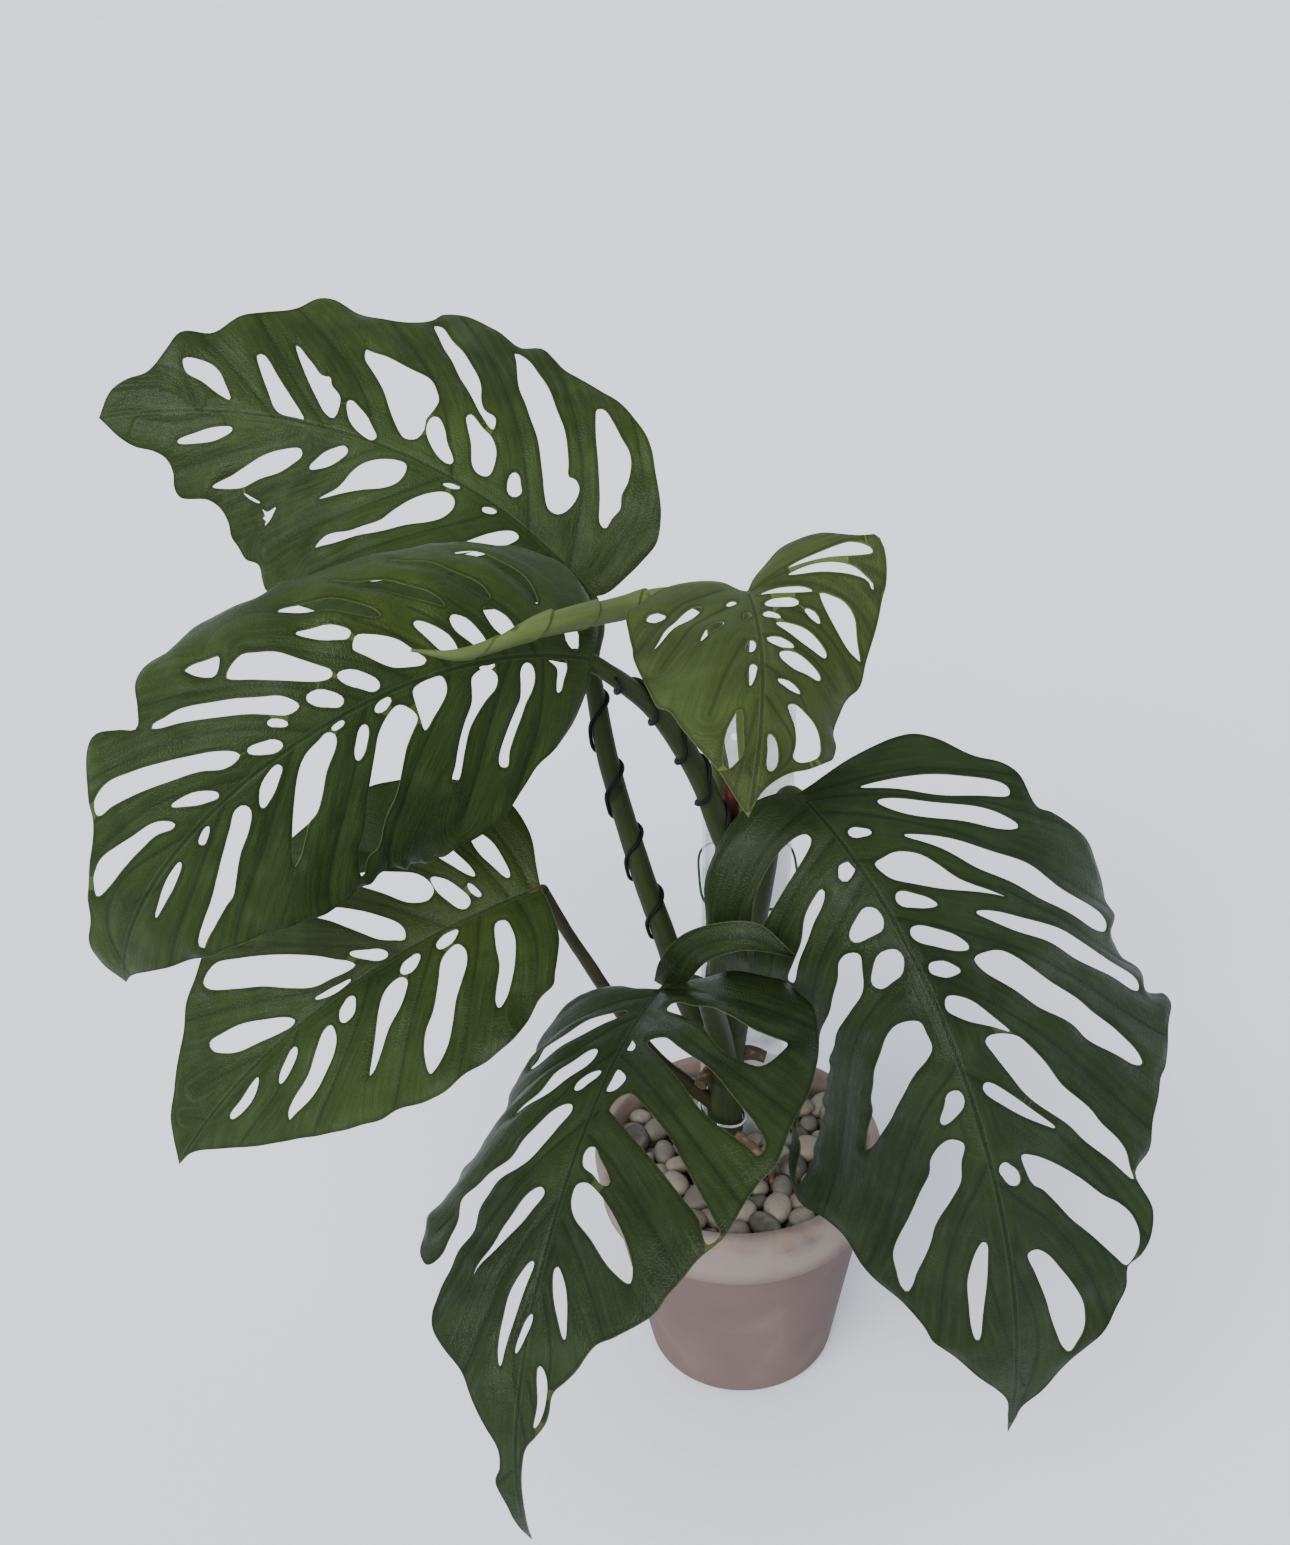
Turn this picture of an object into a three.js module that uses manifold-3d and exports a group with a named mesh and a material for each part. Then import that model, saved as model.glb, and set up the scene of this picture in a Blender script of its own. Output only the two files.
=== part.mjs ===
// Potted monstera acuminata on a clear stake.
// Millimetres, +Z up. The origin is on the pot's axis, on the surface it stands on.
// The front of the plant faces -Y.
import * as THREE from 'three';
import Module from 'manifold-3d';

const wasm = await Module();
wasm.setup();
const { Manifold, Mesh: SolidMesh } = wasm;

// Pot and filling.
const POT_HEIGHT = 142;
const RIM_RADIUS = 80;
const RIM_BAND = 35;
const FOOT_RADIUS = 53;
const BODY_TOP_RADIUS = 72;
const WALL = 8;
const FLOOR = 9;
const DRAIN_RADIUS = 6;
const DRAIN_OFFSET = 24;
const SOIL_TOP = 120;
const GRAVEL_TOP = 129;
const PEBBLE_RINGS = [
  { radius: 60, count: 19 },
  { radius: 44, count: 14 },
  { radius: 27, count: 8 },
];
const GAP = 0.3;

// Stake, stem, wires and blades.
const STAKE_WIDTH = 46;
const STAKE_DEPTH = 13;
const STAKE_WALL = 1.8;
const STAKE_TOP = 400;
const STAKE_FOOT = 40;
const STAKE_FRONT = 15;
const STAKE_LEAN = 1.7;
const STAKE_HOLE = 2.4;
const STEM_RADII = [9, 9, 9.5, 12, 11, 7];
const STEM_PATH = [[-7, -1, 60], [-7, -1, 120], [-6, 0, 180], [-3, -1, 240], [0, -2, 300], [1, -3, 352]];
const WIRE_RADIUS = 0.8;
const BLADE_THICKNESS = 0.8;
const RIB_STEP = 20;
const LONGEST_EDGE = 30;
const RIB_BOW = 0.4;

// Each leaf is drawn flat first: a runs from the base of the blade to its tip, b across it,
// minus on the left. heading, rise and roll turn it (0 heads to the front, 90 to the right),
// droop, sway and twist bend it over its length, and each half has its own fold at the
// midrib and its own curl per 100 mm (at the base, the middle and the tip).
// size scales the drawing. left and right are the margin from base to tip.
// A hole is a slot: inner end, middle, outer end, and its width near either end.
const LEAVES = [
  {
    name: 'leaf_upper_left', length: 270, size: 1, base: [-63, 30, 458],
    heading: -118, rise: 47, roll: -31, droop: [42, 3], sway: 54, twist: -15,
    foldLeft: [50, -4, -16], curlLeft: [-5, -5, -20],
    foldRight: [25, -6, 15], curlRight: [5, -28, -5],
    left: [
      [1, -10], [3, -22], [12, -45], [24, -64], [42, -78], [61, -85], [90, -89], [117, -88],
      [141, -87], [160, -85], [167, -83], [172, -78], [177, -72], [188, -70], [194, -65],
      [199, -60], [201, -54], [207, -47], [214, -43], [232, -42], [235, -37], [235, -30],
      [238, -23], [244, -19], [254, -16], [261, -11],
    ],
    right: [
      [-3, 6], [-3, 20], [-2, 30], [0, 40], [8, 51], [20, 62], [30, 72], [40, 78], [60, 84],
      [75, 85], [84, 90], [92, 95], [98, 91], [104, 92], [120, 99], [130, 100], [134, 96],
      [136, 87], [141, 80], [148, 76], [162, 74], [175, 76], [181, 74], [187, 67], [199, 57],
      [208, 52], [218, 42], [230, 40], [236, 31], [245, 20], [254, 17], [262, 12],
    ],
    holes: [
      [18, -1.5, 22, -3, 27, -3, 3.5, 2], [50, -28, 55, -33, 59, -37, 4, 3.5],
      [47, -6, 58, -27, 77, -45, 10, 5], [62, -1.5, 65, -4, 68, -6, 4, 4],
      [83, -2, 87, -3.5, 91, -5, 3, 2.5], [82, -9, 105, -33, 140, -58, 15, 6],
      [81, -61, 90, -64, 98, -66, 2.5, 3.5], [112, -5, 127, -21, 147, -35, 14, 5.5],
      [142, -7, 149, -14, 158, -21, 7, 6], [164, -16, 183, -25, 212, -36, 9, 6.5],
      [202, -8, 215, -12, 231, -15, 5.5, 5], [172, -46, 175, -47, 178, -48, 5, 4],
      [21, 26, 34, 49, 55, 74, 7, 11], [41, 17, 66, 49, 98, 86, 12, 9],
      [59, 10, 63, 14, 66, 20, 6.5, 5.5], [77, 11, 86, 23, 99, 37, 10, 6],
      [93, 7, 104, 14, 111, 26, 7, 8], [88, 34, 109, 57, 133, 84, 6, 8.5],
      [117, 9, 129, 31, 152, 51, 15, 14], [131, 2, 141, 8, 150, 18, 7, 7],
      [154, 8, 166, 22, 182, 42, 8, 5], [169, 2, 183, 14, 196, 32, 7, 7],
      [205, 7, 215, 18, 228, 26, 5, 8], [182, -42, 188, -40.6, 193, -38.4, 1.2, 1],
    ],
    stalk: [[-62, 26, 445], [-66, 22, 428], [-64, 18, 408], [-60, 12, 378], [-53, 8, 345],
      [-45, 4, 312], [-36, 2, 279], [-30, 1, 255], [-22, 0, 228], [-12, 0, 200]],
    stalkRadius: [3.6, 5, 5.5, 6, 6.5],
  },
  {
    name: 'leaf_middle_left', length: 303, size: 1, base: [-63, -61, 467],
    heading: -48, rise: 28, roll: -27, droop: [114, 137], sway: 18, twist: -19,
    foldLeft: [-55, -45, -10], curlLeft: [-21, -47, -16],
    foldRight: [47, 43, 33], curlRight: [-116, -120, -36],
    left: [
      [-1, -8], [0, -22], [2, -30], [8, -38], [18, -48], [22, -60], [27, -72], [40, -85],
      [50, -92], [64, -98], [80, -106], [92, -108], [104, -109], [116, -107], [130, -102],
      [152, -88], [172, -80], [194, -75], [208, -66], [220, -58], [234, -47], [248, -37],
      [260, -28], [272, -19], [284, -9], [294, -3],
    ],
    right: [
      [-3, 10], [-3, 24], [2, 42], [10, 58], [25, 72], [50, 80], [80, 84], [110, 84],
      [140, 82], [165, 76], [178, 66], [182, 54], [186, 46], [193, 53], [201, 58], [212, 50],
      [218, 42], [222, 34], [230, 28], [240, 25], [252, 21], [262, 17], [280, 15], [290, 10],
    ],
    holes: [
      [20, -2.5, 17, -8, 17, -16, 7, 3], [37, -3, 39, -25, 42, -49, 9, 7],
      [55, -5, 68, -24, 77, -51, 11, 4], [52, -2, 56, -3, 60, -2, 2, 2],
      [84, -3, 85, -11, 90, -22, 14, 7], [99, -8, 123, -43, 168, -73, 15, 8.5],
      [115, -8, 120, -15, 125, -21, 5, 4.5], [101, -2.5, 105, -4, 109, -5, 4, 4],
      [122, -2.5, 125, -3, 128, -3, 2.5, 2.5], [131, -5, 157, -27, 185, -42, 12, 6],
      [153, -3.5, 162, -7.5, 171, -13, 5.5, 5], [175, -9, 206, -21, 249, -28, 8, 3.5],
      [192, -3, 197, -4.5, 201, -6, 2.5, 3], [213, -4, 229, -6, 245, -7.5, 3.5, 2.5],
      [9, 3, 12, 8, 13, 14, 6, 7], [42, 7, 46, 14, 52, 22, 7, 7],
      [56, 5, 61, 13, 67, 21, 6, 7], [69, 5, 74, 13, 81, 23, 6, 6],
      [84, 6, 94, 15, 105, 25, 10, 11], [105, 27, 111, 32, 121, 39, 6, 5],
      [104, 3, 109, 9, 116, 15, 6, 6], [118, 16, 133, 29, 148, 42, 8, 12],
      [152, 46, 155, 49, 160, 53, 7, 6], [119, 4, 124, 9, 130, 13, 6, 6],
      [134, 12, 155, 28, 181, 43, 8, 7], [141, 8, 144, 11, 147, 13, 3, 3],
      [147, 3, 152, 5, 159, 9, 5, 5], [162, 10, 185, 24, 215, 36, 8, 8],
      [179, 3, 186, 8, 195, 13, 5, 4], [200, 8, 226, 16, 255, 15, 6, 6],
      [28, 22, 34, 40, 48, 58, 5, 5], [48, 26, 58, 42, 76, 58, 5, 5],
      [68, 26, 82, 42, 100, 56, 5, 5], [92, 30, 104, 42, 122, 54, 5, 5],
    ],
    stalk: [[-55, -56, 457], [-49, -50, 449], [-36, -40, 431], [-23, -30, 404],
      [-14, -23, 380], [-6, -18, 351], [1, -15, 330], [3, -10, 300], [2, -6, 275]],
    stalkRadius: [3.6, 5, 5.5, 6, 6],
  },
  {
    name: 'leaf_lower_left', length: 230, size: 1, base: [-93, -60, 351],
    heading: -76, rise: -12, roll: -22, droop: [34, 56], sway: 15, twist: -10,
    foldLeft: [3, 7, -8], curlLeft: [-15, -12, -10],
    foldRight: [23, 26, 11], curlRight: [-23, -18, -19],
    left: [
      [-1, -8], [-1, -17], [0, -28], [5, -40], [8, -46], [11, -52], [20, -56], [30, -64],
      [40, -70], [52, -72], [64, -73], [78, -75], [88, -74], [100, -70], [112, -68],
      [124, -63], [140, -56], [160, -44], [180, -32], [200, -17], [214, -6], [221, -2],
    ],
    right: [
      [-2, 12], [-4, 22], [-4, 30], [-1, 43], [8, 56], [25, 70], [52, 79], [80, 77],
      [110, 71], [132, 64], [150, 57], [160, 50], [170, 44], [182, 36], [192, 29], [202, 23],
      [214, 17], [221, 10],
    ],
    holes: [
      [23, -9, 28, -30, 38, -51, 9, 7], [46, -11, 62, -37, 80, -64, 12, 8.5],
      [43, -3, 49, -5.5, 55, -7, 6, 7], [64, -5, 69, -8, 75, -10, 6, 7],
      [76, -12, 90, -27, 108, -47, 9, 5.5], [101, -5, 105, -10, 110, -15, 7, 7.5],
      [117, -11, 132, -26, 157, -34, 10, 8], [137, -8, 144, -13, 153, -17, 5.5, 5.5],
      [162, -6, 174, -10, 187, -9, 5.5, 5.5], [12, 10, 15, 22, 20, 38, 5, 7],
      [26, 17, 31, 27, 38, 40, 4, 6], [27, 7, 29, 11, 30, 15, 3, 2.5],
      [34, 5, 39, 15, 44, 25, 8, 6], [47, 17, 57, 28, 74, 42, 12, 10],
      [66, 6, 80, 21, 98, 40, 8, 7], [77, 3, 84, 7, 92, 13, 5, 4],
      [93, 9, 123, 27, 156, 47, 12, 12], [98, 2.5, 108, 3, 117, 5, 2.5, 2.5],
      [131, 3, 151, 12, 172, 22, 8, 9.5],
    ],
    stalk: [[-92, -55, 345], [-84, -45, 317], [-74, -35, 288], [-64, -28, 261],
      [-51, -20, 229], [-41, -14, 209], [-26, -6, 186], [-12, -2, 168]],
    stalkRadius: [2.6, 3.2, 3.5, 4],
  },
  {
    name: 'leaf_front', length: 299, size: 0.945, base: [-39, -115, 330],
    heading: -17, rise: 15, roll: 0, droop: [84, 165], sway: -12, twist: 6,
    foldLeft: [23, 29, 10], curlLeft: [-35, -29, -4],
    foldRight: [4, -8, 23], curlRight: [-94, -47, 9],
    left: [
      [-4, -16], [-8, -33], [-2, -50], [9, -64], [30, -80], [55, -90], [76, -94], [100, -92],
      [113, -91], [120, -86], [136, -81], [141, -78], [150, -69], [160, -62], [166, -59],
      [172, -52], [178, -43], [183, -34], [192, -28], [200, -21], [206, -16], [214, -15],
      [220, -13], [228, -8], [236, -3], [250, -1], [275, -1],
    ],
    right: [
      [2, 6], [3, 12], [-1, 21], [-5, 33], [0, 50], [15, 66], [40, 76], [70, 82], [100, 86],
      [124, 90], [138, 92], [150, 90], [160, 87], [168, 80], [174, 71], [176, 64], [168, 59],
      [150, 61], [137, 62], [131, 60], [120, 48], [111, 37], [97, 28], [89, 20], [89, 15],
      [93, 13], [102, 17], [114, 24], [121, 32], [131, 41], [142, 45], [158, 47], [176, 51],
      [193, 54], [200, 50], [206, 42], [213, 32], [222, 25], [232, 16], [240, 10], [250, 9],
      [258, 11], [270, 7], [285, 4],
    ],
    holes: [
      [24, -13, 44, -40, 62, -72, 8, 14], [52, -2, 55, -3.5, 58, -5, 3, 4],
      [55, -13, 85, -45, 111, -84, 12, 9], [88, -9, 113, -40, 139, -71, 14, 8],
      [70, -2.5, 77, -4.5, 82, -8, 4, 7], [112, -3, 119, -12, 127, -20, 8, 7],
      [131, -4, 141, -21, 158, -43, 13, 11], [161, -4, 172, -11, 185, -18, 7, 6],
      [199, -6, 210, -10, 224, -7, 6, 4], [26, 9, 39, 33, 46, 59, 9, 9],
      [55, 15, 73, 29, 86, 52, 10, 4.5], [70, 7, 75, 12, 81, 16, 5, 6],
      [131, 13, 148, 24, 174, 36, 8, 3], [161, 8, 181, 13, 205, 13, 5.5, 4.5],
      [181, 3, 189, 5, 198, 7, 3, 2.5],
    ],
    stalk: [[-32, -106, 325], [-24, -88, 312], [-17, -60, 283], [-12, -38, 250],
      [-8, -20, 218], [-6, -6, 190]],
    stalkRadius: [3.6, 5, 6, 6.5],
  },
  {
    name: 'leaf_right', length: 341, size: 1.037, base: [24, -86, 410],
    heading: 31, rise: -11, roll: 3, droop: [131, 56], sway: -13, twist: 28,
    foldLeft: [14, -18, 14], curlLeft: [-9, -19, 32],
    foldRight: [-5, -44, 15], curlRight: [-108, -39, 10],
    left: [
      [0, -8], [-2, -30], [0, -48], [3, -58], [8, -65], [20, -79], [26, -89], [32, -94],
      [46, -99], [50, -108], [61, -123], [70, -129], [84, -133], [96, -139], [107, -142],
      [112, -137], [117, -132], [132, -134], [145, -144], [160, -141], [165, -147],
      [169, -153], [173, -150], [177, -140], [184, -128], [191, -118], [193, -108],
      [198, -98], [206, -90], [213, -83], [218, -72], [235, -73], [243, -69], [250, -62],
      [252, -55], [260, -52], [272, -43], [282, -31], [288, -23], [300, -15], [310, -8],
      [317, -4], [328, -2],
    ],
    right: [
      [-4, 5], [-8, 16], [-8, 28], [-4, 48], [3, 64], [14, 84], [28, 100], [48, 114],
      [72, 123], [110, 127], [156, 126], [190, 118], [212, 107], [220, 100], [224, 86],
      [229, 75], [240, 64], [248, 56], [256, 46], [264, 38], [272, 34], [282, 24], [290, 17],
      [300, 8], [310, 3], [325, 1.5],
    ],
    holes: [
      [13, -23, 25, -54, 38, -86, 5, 9], [22, -25, 37, -50, 52, -83, 7.5, 7.5],
      [40, -26, 76, -77, 113, -127, 9, 13], [49, -6, 61, -29, 79, -56, 12, 5],
      [81, -38, 113, -91, 155, -135, 8, 11], [63, -6, 67, -13, 72, -22, 7, 5],
      [78, -4, 85, -15, 93, -27, 8, 6.5], [94, -4, 97, -11, 100, -18, 6.5, 5],
      [99, -29, 131, -65, 181, -102, 15, 12], [129, -16, 169, -45, 217, -67, 14, 9],
      [109, -4, 117, -15, 131, -30, 9, 5], [145, -7, 158, -19, 177, -36, 6, 4],
      [180, -16, 212, -41, 248, -57, 12, 16], [178, -4, 183, -7, 190, -11, 5.5, 6],
      [221, -9, 249, -20, 281, -23, 11, 12], [29, -5, 31, -9, 33, -14, 5, 4.5],
      [21, 9, 28, 38, 42, 72, 12, 8], [43, 18, 54, 40, 70, 72, 6, 5.5],
      [40, 3, 43, 5, 46, 9, 6, 6], [66, 3, 67, 10, 69, 19, 11, 9],
      [84, 3.5, 87, 12, 92, 20, 11, 10], [76, 21, 126, 82, 212, 101, 12, 14],
      [115, 9, 131, 33, 174, 60, 17, 8], [143, 5, 149, 8, 157, 16, 7, 6],
      [165, 10, 202, 34, 248, 46, 15, 12], [213, 9, 238, 15, 268, 16, 6.5, 6],
    ],
    stalk: [[21, -80, 406], [16, -66, 386], [12, -48, 346], [8, -30, 300], [5, -16, 262],
      [1, -6, 235]],
    stalkRadius: [4, 5.5, 6, 6.5],
  },
  {
    name: 'leaf_top', length: 125, size: 1, base: [5, -60, 495],
    heading: 6, rise: 0, roll: -6, droop: [40, 60], sway: -14, twist: -3,
    foldLeft: [46, -21, 10], curlLeft: [-63, -73, -27],
    foldRight: [6, -1, -2], curlRight: [-71, -62, -29],
    left: [
      [-7, -5], [-12, -13], [-16, -21], [-16, -28], [-14, -39], [-8, -47], [-2, -55],
      [1, -61], [9, -59], [15, -55], [31, -52], [40, -51], [46, -47], [53, -44], [66, -44],
      [74, -42], [84, -39], [90, -33], [98, -23], [104, -13], [112, -5], [119, -1.5],
    ],
    right: [
      [-3, 4], [-10, 9], [-13, 16], [-14, 27], [-11, 40], [-5, 49], [2, 53], [20, 54],
      [36, 53], [50, 51], [60, 48], [72, 44], [77, 42], [80, 37], [90, 31], [100, 23],
      [108, 15], [114, 10], [120, 5],
    ],
    holes: [
      [1, -20, 1, -40, 3, -56, 2, 3], [4, -18, 7, -38, 12, -54, 2.5, 3],
      [9, -6, 11, -17, 13, -26, 3, 2.5], [15, -5, 16, -12, 17, -19, 5, 4.5],
      [22, -3, 23, -7, 25, -10, 4, 3], [15, -29, 23, -38, 31, -48, 8, 7],
      [20, -21, 22, -24, 25, -27, 3, 3], [28, -8, 32, -20, 37, -31, 5.5, 6],
      [39, -3, 39, -9, 39, -15, 5.5, 5], [47, -8, 47, -18, 50, -28, 8, 6.5],
      [61, -7, 60.5, -13, 61, -19, 4, 4], [71, -14, 83, -24, 97, -17, 12, 8],
      [89, -4, 97, -6, 105, -5, 4.5, 4.5], [11, 7, 13, 9, 15, 11, 3, 2.5],
      [21, 2, 23, 3.5, 27, 5, 3, 2], [41, 3, 45, 4, 49, 5, 3.5, 3.5],
      [56, 3, 60, 4, 68, 5, 3, 2.5], [14, 22, 23, 33, 40, 44, 6, 2.5],
      [28, 14, 33, 19, 40, 24, 4, 2.5], [13, 37, 12, 41, 10, 45, 4, 5],
      [75, 8, 91, 11, 106, 12, 3, 5],
    ],
    stalk: [[5.5, -48, 482], [5, -40, 463], [5, -32, 440], [4.5, -26, 415], [7, -19, 382],
      [8, -9, 348]],
    stalkRadius: [2.2, 2.4, 3.4, 5],
  },
];

// The new leaf is still rolled into a spear. Its stalk runs down behind the top leaf's.
const SPEAR_PATH = [
  [-131, -122, 503], [-115, -117, 498], [-102, -107, 496], [-86, -94, 497], [-72, -81, 495],
  [-59, -64, 490], [-47, -49, 486], [-34, -41, 486], [-23, -37, 484], [-12, -33, 478],
  [-7, -27, 460], [-8, -18, 436], [-8, -7, 405], [-5, 4, 372], [-4, 4, 348],
];
const SPEAR_RADII = [0.4, 2.5, 3, 5, 5, 5, 4.5, 3.8, 3.8, 3.8, 3.8, 4, 4, 4.2, 4.2];

// The front leaf's basal lobe turns up and to the right, as a band of its own.
const LOBE_PATH = [[-38, -109, 327], [-33, -118, 342], [-25, -126, 358], [-13, -132, 367],
  [0, -136, 370], [17, -140, 362]];
const LOBE_HALF_WIDTHS = [5, 8, 8, 7, 6, 0.6];

// The aerial roots, from the stem into the gravel.
const ROOTS = [
  [[-4, -4, 152], [6, -13, 149], [14, -20, 142], [17, -22, 134], [17, -22, 112]],
  [[-8, -3, 151], [-16, -8, 148], [-22, -10, 142], [-24, -11, 134], [-24, -11, 112]],
  [[-5, -4, 148], [-3, -14, 146], [0, -22, 142], [1, -25, 134], [1, -25, 112]],
];
const ROOT_ROOM = 3.4;

// The hoops of wire: half width and half depth, and the wire's radius.
const TIE_WIRE = {
  across: 25, deep: 26, power: 4, wire: 0.7, tilt: 12, slope: 0, middle: [8.2, 5, 312],
};
const CLIP_RING = {
  across: 13, deep: 13, power: 2, wire: 1.1, tilt: 0, slope: 18, middle: [-8, -1, 163],
};

// A dried brown sheath stands on the top of the stem.
const SHEATH_PATH = [[0, -7, 379], [0, -6, 366], [0, -5, 352.9]];
const SHEATH_RADII = [1.2, 3.6, 4, 3];

const radians = THREE.MathUtils.degToRad;
const vector = (p) => new THREE.Vector3(...p);

// Base, middle and tip values read at t between 0 and 1.
function quadratic(first, middle, last, t) {
  return first * (1 - t) * (1 - 2 * t) + middle * 4 * t * (1 - t) + last * t * (2 * t - 1);
}

// A solid from points and triangles, with its faces turned outwards.
function closedSolid(positions, triangles) {
  const build = (faces) => new Manifold(new SolidMesh({
    numProp: 3,
    vertProperties: new Float32Array(positions.flat()),
    triVerts: new Uint32Array(faces.flat()),
  }));
  const solid = build(triangles);
  return solid.volume() > 0 ? solid : build(triangles.map(([a, b, c]) => [a, c, b]));
}

// A three.js geometry as a solid: only its positions count, and equal ones are merged.
function solidFrom(geometry) {
  const source = geometry.index ? geometry.toNonIndexed() : geometry;
  const place = source.attributes.position;
  const positions = [];
  const found = new Map();
  const corners = [];
  for (let i = 0; i < place.count; i += 1) {
    const p = [place.getX(i), place.getY(i), place.getZ(i)];
    const key = p.map((v) => Math.round(v * 1e4)).join();
    if (!found.has(key)) {
      found.set(key, positions.length);
      positions.push(p);
    }
    corners.push(found.get(key));
  }
  const triangles = [];
  for (let i = 0; i < corners.length; i += 3) {
    const [a, b, c] = corners.slice(i, i + 3);
    if (a !== b && b !== c && c !== a) triangles.push([a, b, c]);
  }
  return closedSolid(positions, triangles);
}

function geometryFrom(solid) {
  const mesh = solid.getMesh();
  const positions = [];
  for (let i = 0; i < mesh.vertProperties.length; i += mesh.numProp) {
    positions.push(...mesh.vertProperties.slice(i, i + 3));
  }
  const geometry = new THREE.BufferGeometry();
  geometry.setAttribute('position', new THREE.Float32BufferAttribute(positions, 3));
  geometry.setIndex([...mesh.triVerts]);
  geometry.computeVertexNormals();
  return geometry;
}

// A solid turned about the Z axis, from a closed half profile of [radius, height].
function turned(profile, segments) {
  const points = profile.map(([r, z]) => new THREE.Vector2(r, z));
  const geometry = new THREE.LatheGeometry(points, segments);
  geometry.rotateX(Math.PI / 2);
  return solidFrom(geometry);
}

function cylinder(radius, from, to, x, y, segments) {
  const geometry = new THREE.CylinderGeometry(radius, radius, to - from, segments);
  geometry.rotateX(Math.PI / 2);
  geometry.translate(x, y, (from + to) / 2);
  return solidFrom(geometry);
}

// Rings of points along a path, closed at both ends. radii are read evenly along it.
function sweep(ringAt, steps, sides) {
  const positions = [];
  const triangles = [];
  for (let i = 0; i <= steps; i += 1) positions.push(...ringAt(i / steps));
  for (let i = 0; i < steps; i += 1) {
    for (let j = 0; j < sides; j += 1) {
      const a = i * sides + j;
      const b = i * sides + (j + 1) % sides;
      triangles.push([a, b, b + sides], [a, b + sides, a + sides]);
    }
  }
  const last = steps * sides;
  for (let j = 1; j < sides - 1; j += 1) {
    triangles.push([0, j + 1, j], [last, last + j, last + j + 1]);
  }
  return closedSolid(positions, triangles);
}

function readAlong(values, t) {
  const x = t * (values.length - 1);
  const i = Math.min(Math.floor(x), values.length - 2);
  return values[i] + (values[i + 1] - values[i]) * (x - i);
}

function rod(points, radii, steps, sides) {
  const curve = new THREE.CatmullRomCurve3(points.map(vector));
  const frames = curve.computeFrenetFrames(steps);
  return sweep((t) => {
    const centre = curve.getPointAt(t);
    const i = Math.round(t * steps);
    const radius = readAlong(radii, t);
    const ring = [];
    for (let j = 0; j < sides; j += 1) {
      const angle = (j / sides) * 2 * Math.PI;
      ring.push(centre.clone()
        .addScaledVector(frames.normals[i], Math.cos(angle) * radius)
        .addScaledVector(frames.binormals[i], Math.sin(angle) * radius)
        .toArray());
    }
    return ring;
  }, steps, sides);
}

// A wire wound round a rod's path, from one share of its length to another.
function winding(points, from, to, turns, radius) {
  const curve = new THREE.CatmullRomCurve3(points.map(vector));
  const steps = Math.round(turns * 10);
  const frames = curve.computeFrenetFrames(steps);
  const path = [];
  for (let i = 0; i <= steps; i += 1) {
    const t = from + (to - from) * (i / steps);
    const k = Math.round(t * steps);
    const angle = (i / 10) * 2 * Math.PI;
    path.push(curve.getPointAt(t)
      .addScaledVector(frames.normals[k], Math.cos(angle) * radius)
      .addScaledVector(frames.binormals[k], Math.sin(angle) * radius)
      .toArray());
  }
  return rod(path, [WIRE_RADIUS, WIRE_RADIUS], steps, 4);
}

// The midrib's points and frames (forward, across, up) from base to tip.
function midrib(leaf) {
  const count = 30;
  const heading = radians(leaf.heading);
  const rise = radians(leaf.rise);
  const flat = Math.cos(rise);
  let forward = vector([Math.sin(heading) * flat, -Math.cos(heading) * flat, Math.sin(rise)]);
  let across = forward.clone().cross(vector([0, 0, 1])).normalize();
  let up = across.clone().cross(forward);
  across.applyAxisAngle(forward, radians(leaf.roll));
  up.applyAxisAngle(forward, radians(leaf.roll));
  const point = new THREE.Vector3();
  const stations = [{ point: point.clone(), forward, across, up }];
  for (let i = 0; i < count; i += 1) {
    const t = (i + 0.5) / count;
    const droop = radians(leaf.droop[0] + (leaf.droop[1] - leaf.droop[0]) * t) / count;
    const sway = radians(leaf.sway) / count;
    const twist = radians(leaf.twist) / count;
    const half = forward.clone().applyAxisAngle(across, -droop / 2).applyAxisAngle(up, sway / 2);
    point.addScaledVector(half, leaf.length / count);
    forward = forward.clone().applyAxisAngle(across, -droop);
    up = up.clone().applyAxisAngle(across, -droop);
    forward.applyAxisAngle(up, sway);
    across = across.clone().applyAxisAngle(up, sway).applyAxisAngle(forward, twist);
    up.applyAxisAngle(forward, twist);
    stations.push({ point: point.clone(), forward, across, up });
  }
  return stations;
}

// Where a point of the flat drawing lies in space, lifted off the blade by lift.
function onBlade(leaf, stations, a, b, lift) {
  const count = stations.length - 1;
  const t = THREE.MathUtils.clamp(a / leaf.length, 0, 1);
  const x = t * count;
  const i = Math.min(Math.floor(x), count - 1);
  const blend = (key) => stations[i][key].clone().lerp(stations[i + 1][key], x - i);
  const place = blend('point').addScaledVector(blend('forward'), a - t * leaf.length);
  const across = blend('across');
  const up = blend('up');
  const side = Math.sign(b);
  const folds = b >= 0 ? leaf.foldRight : leaf.foldLeft;
  const curls = b >= 0 ? leaf.curlRight : leaf.curlLeft;
  const fold = radians(quadratic(...folds, t));
  const curl = radians(quadratic(...curls, t)) / 100 || 1e-6;
  const reach = Math.abs(b);
  const angle = fold + curl * reach;
  place.addScaledVector(across, side * (Math.sin(angle) - Math.sin(fold)) / curl);
  place.addScaledVector(up, (Math.cos(fold) - Math.cos(angle)) / curl);
  place.multiplyScalar(leaf.size).add(vector(leaf.base));
  place.addScaledVector(across, -side * Math.sin(angle) * lift);
  place.addScaledVector(up, (side === 0 ? 1 : Math.cos(angle)) * lift);
  return place.toArray();
}

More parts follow.
